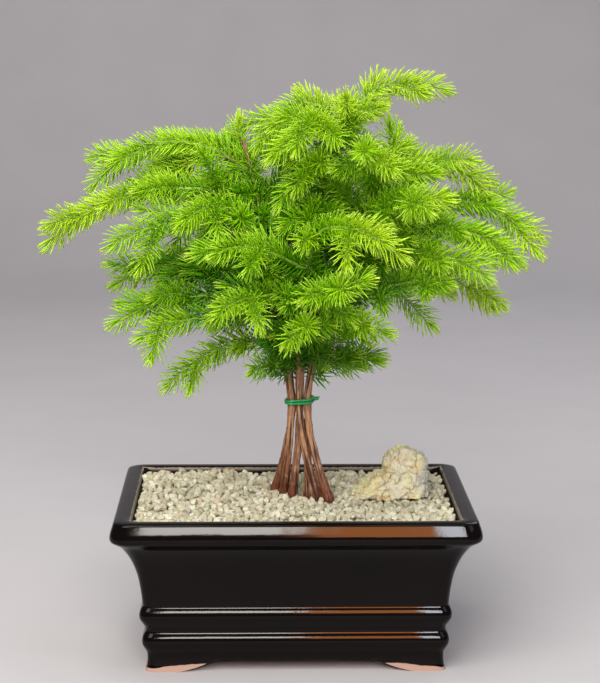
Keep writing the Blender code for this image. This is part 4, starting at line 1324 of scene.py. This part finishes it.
def fine_twigs(name):
    """Twigs between the side twigs of a bough behind."""
    rng = random.Random("fine " + name)
    main = MAIN_TWIGS[name]
    total = path_length(main)
    twigs = []
    if not LONGEST_TWIG[name] or math.sin(math.radians(BOUGHS[name][2])) < FINE_BEHIND:
        return twigs
    hand = rng.choice((-1, 1))
    run = FINE_FIRST + rng.uniform(0.0, 5.0)
    while run < total - FINE_LAST:
        roll = -hand * math.radians(rng.uniform(-15, 75))
        angle = math.radians(FINE_ANGLE + rng.uniform(-8, 8))
        length = min(LONGEST_TWIG[name], FINE_SHORTEST + FINE_SHARE * (total - run))
        length *= rng.uniform(0.8, 1.1)
        twig = twig_from(main, run, hand, roll, angle, length, FINE_BEND, rng.uniform(-0.45, 0.05))
        if in_crown(twig[-1]).length < FINE_REACH:
            twigs.append(twig)
        hand = -hand
        run += FINE_STEP * rng.uniform(0.85, 1.15)
    return twigs


TWIGS = choose_twigs(TWIGS, {name: fine_twigs(name) for name in BOUGHS}, FINE_LEAST, FINE_APART)
print("in all:", measure(TWIGS))

# %% [markdown]
# ## Needle finishes
# The needles are soft awls of 8 to 13 mm with a waxy skin: yellow green while young, deeper green
# further in, each one paler toward its point. The tones carry painted light too: darker deep in the
# crown as painted shade, lighter at its outside, top and front as painted light. Colour that belongs
# to a place is dealt out by spray, one plain material for each tone, because the needles are joined
# into few pieces. An attribute that runs from 0 at a needle's root to 1 at its point carries the
# paler tip.

# %% Needle tones
# Tone, colour at the root, in the middle and at the point, from darkest to lightest: partly the
# needles' age, partly painted shade and painted light by their place in the crown
NEEDLE_TONES = (
    # In these five tones the root is lighter than the middle: painted light against the shade among the
    # needles' roots
    ("shade", "#42861a", "#387b14", "#5a982b"),
    ("deep", "#6fae22", "#5ba015", "#7db130"),
    ("full", "#9ad036", "#7cb81c", "#9cc83c"),
    ("fresh", "#b8e444", "#94c822", "#b0d84c"),
    ("young", "#cdf052", "#a8cf2a", "#bcdc54"),
)
TONE_NAMES = [row[0] for row in NEEDLE_TONES]
# The newest needles at a twig's end are still folded together, silvery and thick
BUD_TONE = ("bud", "#8cc028", "#aad636", "#c2e05c")


def needle_finish(name, root, middle, point):
    made, shader, add, coords = new_material("waxy_needle_painted_light_" + name)
    along = add("ShaderNodeAttribute", attribute_name="along").outputs["Fac"]
    lower = add("range", {"Value": along, "From Min": 0.0, "From Max": 0.45})
    upper = add("range", {"Value": along, "From Min": 0.45, "From Max": 1.0})
    # In the five tones the root colour is lighter than the middle: painted light against the shade where
    # the needles crowd at the twig
    body = add("mix", {0: lower, 6: root, 7: middle})
    tipped = add("mix", {0: upper, 6: body, 7: point})
    # Needles of one spray differ a little: patches of about 4 mm, a needle's spacing
    patch = add("noise", {"Scale": 240.0, "Detail": 2.0, "Vector": coords})
    shift = add("range", {"Value": patch, "From Min": 0.3, "From Max": 0.7, "To Min": 0.8, "To Max": 1.18})
    set_inputs(shader, {
        "Base Color": add("ShaderNodeHueSaturation",
                          {"Color": tipped, "Value": shift, "Saturation": 1.04}),
        "Roughness": 0.42, "Specular IOR Level": 0.27})
    return made


needle_materials = {tone[0]: needle_finish(*tone) for tone in (*NEEDLE_TONES, BUD_TONE)}
print(len(needle_materials), "needle tones")

# %% [markdown]
# ## Needles
# A needle is a curved three-sided awl of sixteen triangles. Five of them, bent differently, are the
# stock that a Geometry Nodes tree sets along every twig: it turns the twig's edges into a curve,
# sets points at an even spacing, turns each needle by the golden angle round the twig, and folds
# the needles forward where the twig ends. The script writes three attributes on the twig's points
# for it: how full the needles are, how far they fold forward, and how thick the twig is.

# %% Needle stock
NEEDLE_LENGTH = 12.8
NEEDLE_WIDTH = 1.0
NEEDLE_STEPS = 12
# Steps that carry a ring of three points, and the share of the width there
NEEDLE_RINGS = ((0, 0.6), (5, 1.0), (10, 0.7))
# Lean at the root and at the point in degrees, share of the width
NEEDLE_BENDS = ((64, 40, 1.0), (58, 32, 0.92), (68, 46, 1.0), (60, 42, 0.85), (54, 28, 1.08))


def needle_shape(name, lean_root, lean_point, width):
    """An awl that leaves the twig's axis (Z) at one lean and bends to another."""
    centre = Vector((0, 0, 0))
    stations = []
    for k in range(NEEDLE_STEPS + 1):
        lean = math.radians(lean_root + (lean_point - lean_root) * (k / NEEDLE_STEPS))
        stations.append((centre, lean))
        centre = centre + Vector((math.sin(lean), 0, math.cos(lean))) * (NEEDLE_LENGTH / NEEDLE_STEPS)
    verts, alongs = [], []
    for k, share in NEEDLE_RINGS:
        p, lean = stations[k]
        square = Vector((math.cos(lean), 0, -math.sin(lean)))
        verts += circle(p, square, Vector((0, 1, 0)), NEEDLE_WIDTH * width / 2 * share, 3)
        alongs += [k / NEEDLE_STEPS] * 3
    faces = [(2, 1, 0)]
    for a, b in ((0, 1), (1, 2), (2, 0)):
        for low in (0, 3):
            faces += [(a + low, b + low, b + low + 3), (a + low, b + low + 3, a + low + 3)]
        faces.append((a + 6, b + 6, 9))
    mesh = make_mesh(name, verts + [stations[-1][0]], faces)
    mesh.attributes.new("along", "FLOAT", "POINT").data.foreach_set("value", alongs + [1.0])
    return bpy.data.objects.new(name, mesh)


needles = bpy.data.collections.new("needle_stock")
for k, bend in enumerate(NEEDLE_BENDS):
    needles.objects.link(needle_shape("needle_%d" % k, *bend))

# %% A tree that sets needles along twigs
GOLDEN_ANGLE = math.radians(137.508)
# Needles that are folded by more than this share have the buds' tone
BUD_FROM = 0.72
KINDS.update({
    "align": ("FunctionNodeAlignRotationToVector", {}),
    "rotate": ("FunctionNodeRotateRotation", {"rotation_space": "LOCAL"}),
    "turn_about": ("FunctionNodeAxisAngleToRotation", {}),
})
set_needles, add, given = open_tree("set_needles_along_twigs", {
    "Spacing": "Float", "Fold": "Float", "Seed": "Int", "Needles": "Collection",
    "Material": "Material", "Bud Material": "Material"})
line = add("GeometryNodeMeshToCurve", {"Mesh": given["Geometry"]})
spaced = add("GeometryNodeResampleCurve", {"Curve": line, "Length": given["Spacing"]}, mode="LENGTH")
pick = add("pick", {"Collection": given["Needles"], **ONE_BY_ONE})
which = add("random_int", {4: 0, 5: 4, "Seed": given["Seed"]})
tangent = add("GeometryNodeInputTangent")
aimed = add("align", {"Vector": tangent}, axis="Z")
level = add("align", {"Vector": (0, 0, 1), "Rotation": aimed}, axis="X", pivot_axis="Z")
number = add("GeometryNodeInputIndex")
stray = add("random_float", {2: -0.14, 3: 0.14, "Seed": given["Seed"]})
round_twig = add("multiply_add", {0: number, 1: GOLDEN_ANGLE, 2: stray})
# On a level twig more needles stand above and below it than at its sides; on a steep one not
doubled = add("multiply", {0: round_twig, 1: 2.0})
wave = add("sine", {0: doubled})
climb = add("split", {0: tangent}).outputs["Z"]
steep = add("multiply", {0: climb, 1: climb})
draw = add("multiply_add", {0: steep, 1: 0.3, 2: -0.3})
sideways = add("multiply_add", {0: wave, 1: draw, 2: round_twig})
spin = add("turn_about", {"Axis": (0, 0, 1), "Angle": sideways})
spun = add("rotate", {"Rotation": level, "Rotate By": spin})
folding = add("named_float", {"Name": "folding"})
loose = add("random_float", {2: -0.09, 3: 0.09, "Seed": 5})
fold = add("multiply_add", {0: folding, 1: given["Fold"], 2: loose})
forward = add("multiply", {0: fold, 1: -1.0})
lean = add("turn_about", {"Axis": (0, 1, 0), "Angle": forward})
leant = add("rotate", {"Rotation": spun, "Rotate By": lean})
fullness = add("named_float", {"Name": "fullness"})
vary = add("random_float", {2: 0.88, 3: 1.06, "Seed": 9})
scale = add("multiply", {0: fullness, 1: vary})
placed = add("place", {"Points": spaced, "Instance": pick, "Pick Instance": True,
                        "Instance Index": which, "Rotation": leant, "Scale": scale})
real = add("realize", {"Geometry": placed})
body = add("set_material", {"Geometry": real, "Material": given["Material"]})
folded = add("FunctionNodeCompare", {0: folding, 1: BUD_FROM}, data_type="FLOAT", operation="GREATER_THAN")
bud = add("set_material", {"Geometry": body, "Selection": folded, "Material": given["Bud Material"]})
add("NodeGroupOutput", {"Geometry": bud})
print("needle tree has", len(set_needles.nodes), "nodes")

# %% A tree that gives twigs their skin
twig_skin, add, given = open_tree("twig_skin", {"Sides": "Int", "Material": "Material"})
line = add("GeometryNodeMeshToCurve", {"Mesh": given["Geometry"]})
spaced = add("GeometryNodeResampleCurve", {"Curve": line, "Length": 2.5 * MM}, mode="LENGTH")
thickness = add("named_float", {"Name": "thickness"})
outline_ring = add("GeometryNodeCurvePrimitiveCircle", {"Resolution": given["Sides"], "Radius": 1.0})
skinned = add("GeometryNodeCurveToMesh", {"Curve": spaced, "Profile Curve": outline_ring,
                                          "Scale": thickness, "Fill Caps": True})
rounded = add("GeometryNodeSetShadeSmooth", {"Geometry": skinned})
real = add("realize", {"Geometry": rounded})
coloured = add("set_material", {"Geometry": real, "Material": given["Material"]})
add("NodeGroupOutput", {"Geometry": coloured})
print("skin tree has", len(twig_skin.nodes), "nodes")

# %% Fullness, folding and thickness along a twig
BUD_LENGTH = 8.0
# Share of a needle's full length at a twig's root and tip, and how far from each it grows full
ROOT_FULLNESS = 0.8
ROOT_STRETCH = 12.0
TIP_FULLNESS = 0.72
TIP_STRETCH = 20.0
# Radius of a twig that the model has and of a finer one, and how much is lost by the tip
MODEL_TWIG = 0.62
FINE_TWIG = 0.48
TAPER = 0.45


def twig_values(name, order, twig):
    """Fullness, folding and thickness (in metres) at each point of a twig."""
    total = path_length(twig)
    rows = []
    for k in range(len(twig)):
        run = total * k / (len(twig) - 1)
        left = total - run
        folding = max(0.0, 1.0 - left / BUD_LENGTH) ** 0.7
        fullness = (min(1.0, ROOT_FULLNESS + run / ROOT_STRETCH)
                    * min(1.0, TIP_FULLNESS + left / TIP_STRETCH))
        thickness = MODEL_TWIG if order < MODEL_TWIGS[name] else FINE_TWIG
        if order == 0:
            thickness = bough_radius(name, path_length(BOUGH_PATHS[name]) - left)
        rows.append((fullness, folding, thickness * (1.0 - TAPER * run / total) * MM))
    return rows


# %% Sprays and their tones
SPRAY_LENGTH = 17.0
NEEDLED_FROM = 170.0
NEEDLED_TO = 300.0
# Fullness, folding and thickness of the lines that carry needles on wood
WOOD_VALUES = (0.95, 0.0, 0.3 * MM)
# Painted light that some low boughs get more, or less, than their place gives
BOUGH_PAINTED_LIGHT = {
    "right_droop": 0.32, "lowest_left": 0.22, "lower_left": 0.12, "lower_left_front": 0.12,
    "foot_right": 0.08, "front_foot": -0.30,
}
# Painted light that every twig gets and that needles on wood get; what each way out of the crown adds
TWIG_PAINTED_LIGHT = 0.155
WOOD_PAINTED_LIGHT = 0.10
OUTWARD = 0.66
UPWARD = 0.22
DOWNWARD = 0.66
FRONTWARD = 0.12
# How much a bough's and a spray's painted light differ by luck
BOUGH_LUCK = 0.10
SPRAY_LUCK = 0.12
tone_rng = random.Random(21)


def painted_daylight(p):
    """Painted light: about 0 deep in the crown, 1 at its outside; lighter to the top and the front."""
    q = in_crown(p)
    height = UPWARD * q.z
    if q.z <= 0.0:
        height = DOWNWARD * q.z * max(0.1, 1.0 - math.hypot(q.x, q.y))
    return OUTWARD * q.length + height - FRONTWARD * q.y


def tone_of(light):
    """Painted light between 0 and 1 picks one of the tones, in equal steps."""
    count = len(TONE_NAMES)
    return TONE_NAMES[min(count - 1, max(0, int(light * count)))]


def sprays():
    """Every twig in lengths of about a spray, each with its bough, tone and values."""
    out = []
    for name, twigs in TWIGS.items():
        bough_luck = tone_rng.uniform(-BOUGH_LUCK, BOUGH_LUCK)
        for order, twig in enumerate(twigs):
            values = twig_values(name, order, twig)
            pieces = max(1, round(path_length(twig) / SPRAY_LENGTH))
            ends = [(len(twig) - 1) * part // pieces for part in range(pieces + 1)]
            for a, b in zip(ends, ends[1:]):
                light = (TWIG_PAINTED_LIGHT + painted_daylight(twig[(a + b) // 2]) + bough_luck
                         + BOUGH_PAINTED_LIGHT.get(name, 0.0) + tone_rng.uniform(-SPRAY_LUCK, SPRAY_LUCK))
                out.append((name, tone_of(light), twig[a:b + 1], values[a:b + 1]))
    return out


def wood_sprays():
    """Needles that stand on the stems and bare limbs themselves, where these run in the crown."""
    out = []
    step = round(SPRAY_LENGTH)
    for line in inner_wood(NEEDLED_FROM, NEEDLED_TO, 2.0):
        for start in range(0, len(line) - 2, step):
            part = line[start:start + step + 1]
            middle = part[len(part) // 2]
            out.append((owner_of(middle), tone_of(WOOD_PAINTED_LIGHT + painted_daylight(middle)), part,
                        [WOOD_VALUES] * len(part)))
    return out


SPRAYS = sprays()
WOOD_SPRAYS = wood_sprays()
for tone in TONE_NAMES:
    print(tone, "sprays:", sum(1 for row in SPRAYS if row[1] == tone))

# %% Needles and twig skins
NEEDLE_SPACING = 0.4
NEEDLE_FOLD = 0.84
NEEDLES_PER_PIECE = 12000


def twig_lines(name, rows):
    """Sprays as a mesh of edges, with the twig's values on its points."""
    verts, edges, values = [], [], []
    for owner, tone, line, line_values in rows:
        edges += [(len(verts) + k, len(verts) + k + 1) for k in range(len(line) - 1)]
        verts += [tuple(p * MM) for p in line]
        values += line_values
    mesh = bpy.data.meshes.new(name)
    mesh.from_pydata(verts, edges, [])
    for title, column in zip(("fullness", "folding", "thickness"), zip(*values)):
        mesh.attributes.new(title, "FLOAT", "POINT").data.foreach_set("value", column)
    return link(name, mesh)


def share_out(rows):
    """Splits the sprays into lists that each make one piece."""
    lists, count = [[]], 0
    for row in rows:
        needles_here = path_length(row[2]) / NEEDLE_SPACING + 2
        if count + needles_here > NEEDLES_PER_PIECE:
            lists.append([])
            count = 0
        lists[-1].append(row)
        count += needles_here
    return lists


for tone in TONE_NAMES:
    rows = [row for row in SPRAYS + WOOD_SPRAYS if row[1] == tone]
    for k, part in enumerate(share_out(rows)):
        name = "needles_%s_%d" % (tone, k + 1)
        piece = grow(name, twig_lines(name + "_lines", part), set_needles, {
            "Spacing": NEEDLE_SPACING * MM, "Fold": NEEDLE_FOLD, "Seed": k, "Needles": needles,
            "Material": needle_materials[tone], "Bud Material": needle_materials["bud"]})
        hand_over(piece, "needles", *sorted({"foliage_" + row[0] for row in part}))

# Green shoots still have the needles' skin; wood starts where a bough is older
green_shoot, shader, add, coords = new_material("green_shoot_skin")
mottle = add("noise", {"Scale": 180.0, "Detail": 3.0, "Vector": coords})
set_inputs(shader, {
    "Base Color": add("mix", {0: mottle, 6: "#6c9826", 7: "#8ab436"}),
    "Roughness": 0.55,
    "Normal": add("bump", {"Height": mottle, "Strength": 0.4, "Distance": 0.0002})})
twigs = grow("twigs_green", twig_lines("green_lines", SPRAYS), twig_skin,
             {"Sides": 5, "Material": green_shoot})
hand_over(twigs, "needles", *["foliage_" + name for name in BOUGHS])

# %% Bare limbs of the boughs
for k, name in enumerate(BOUGHS):
    if name in BARE:
        limb = even_steps(cut_path(BOUGH_PATHS[name], 0.0, BARE[name]), step=1.2)
        bough = bark_tube("bark_of_bough_" + name, limb, lambda p, run: bough_radius(name, run),
                          sides=12, relief=LIMB_RELIEF, seed=5.7 * k)
        hand_over(bough, "bark", "bough_" + name)
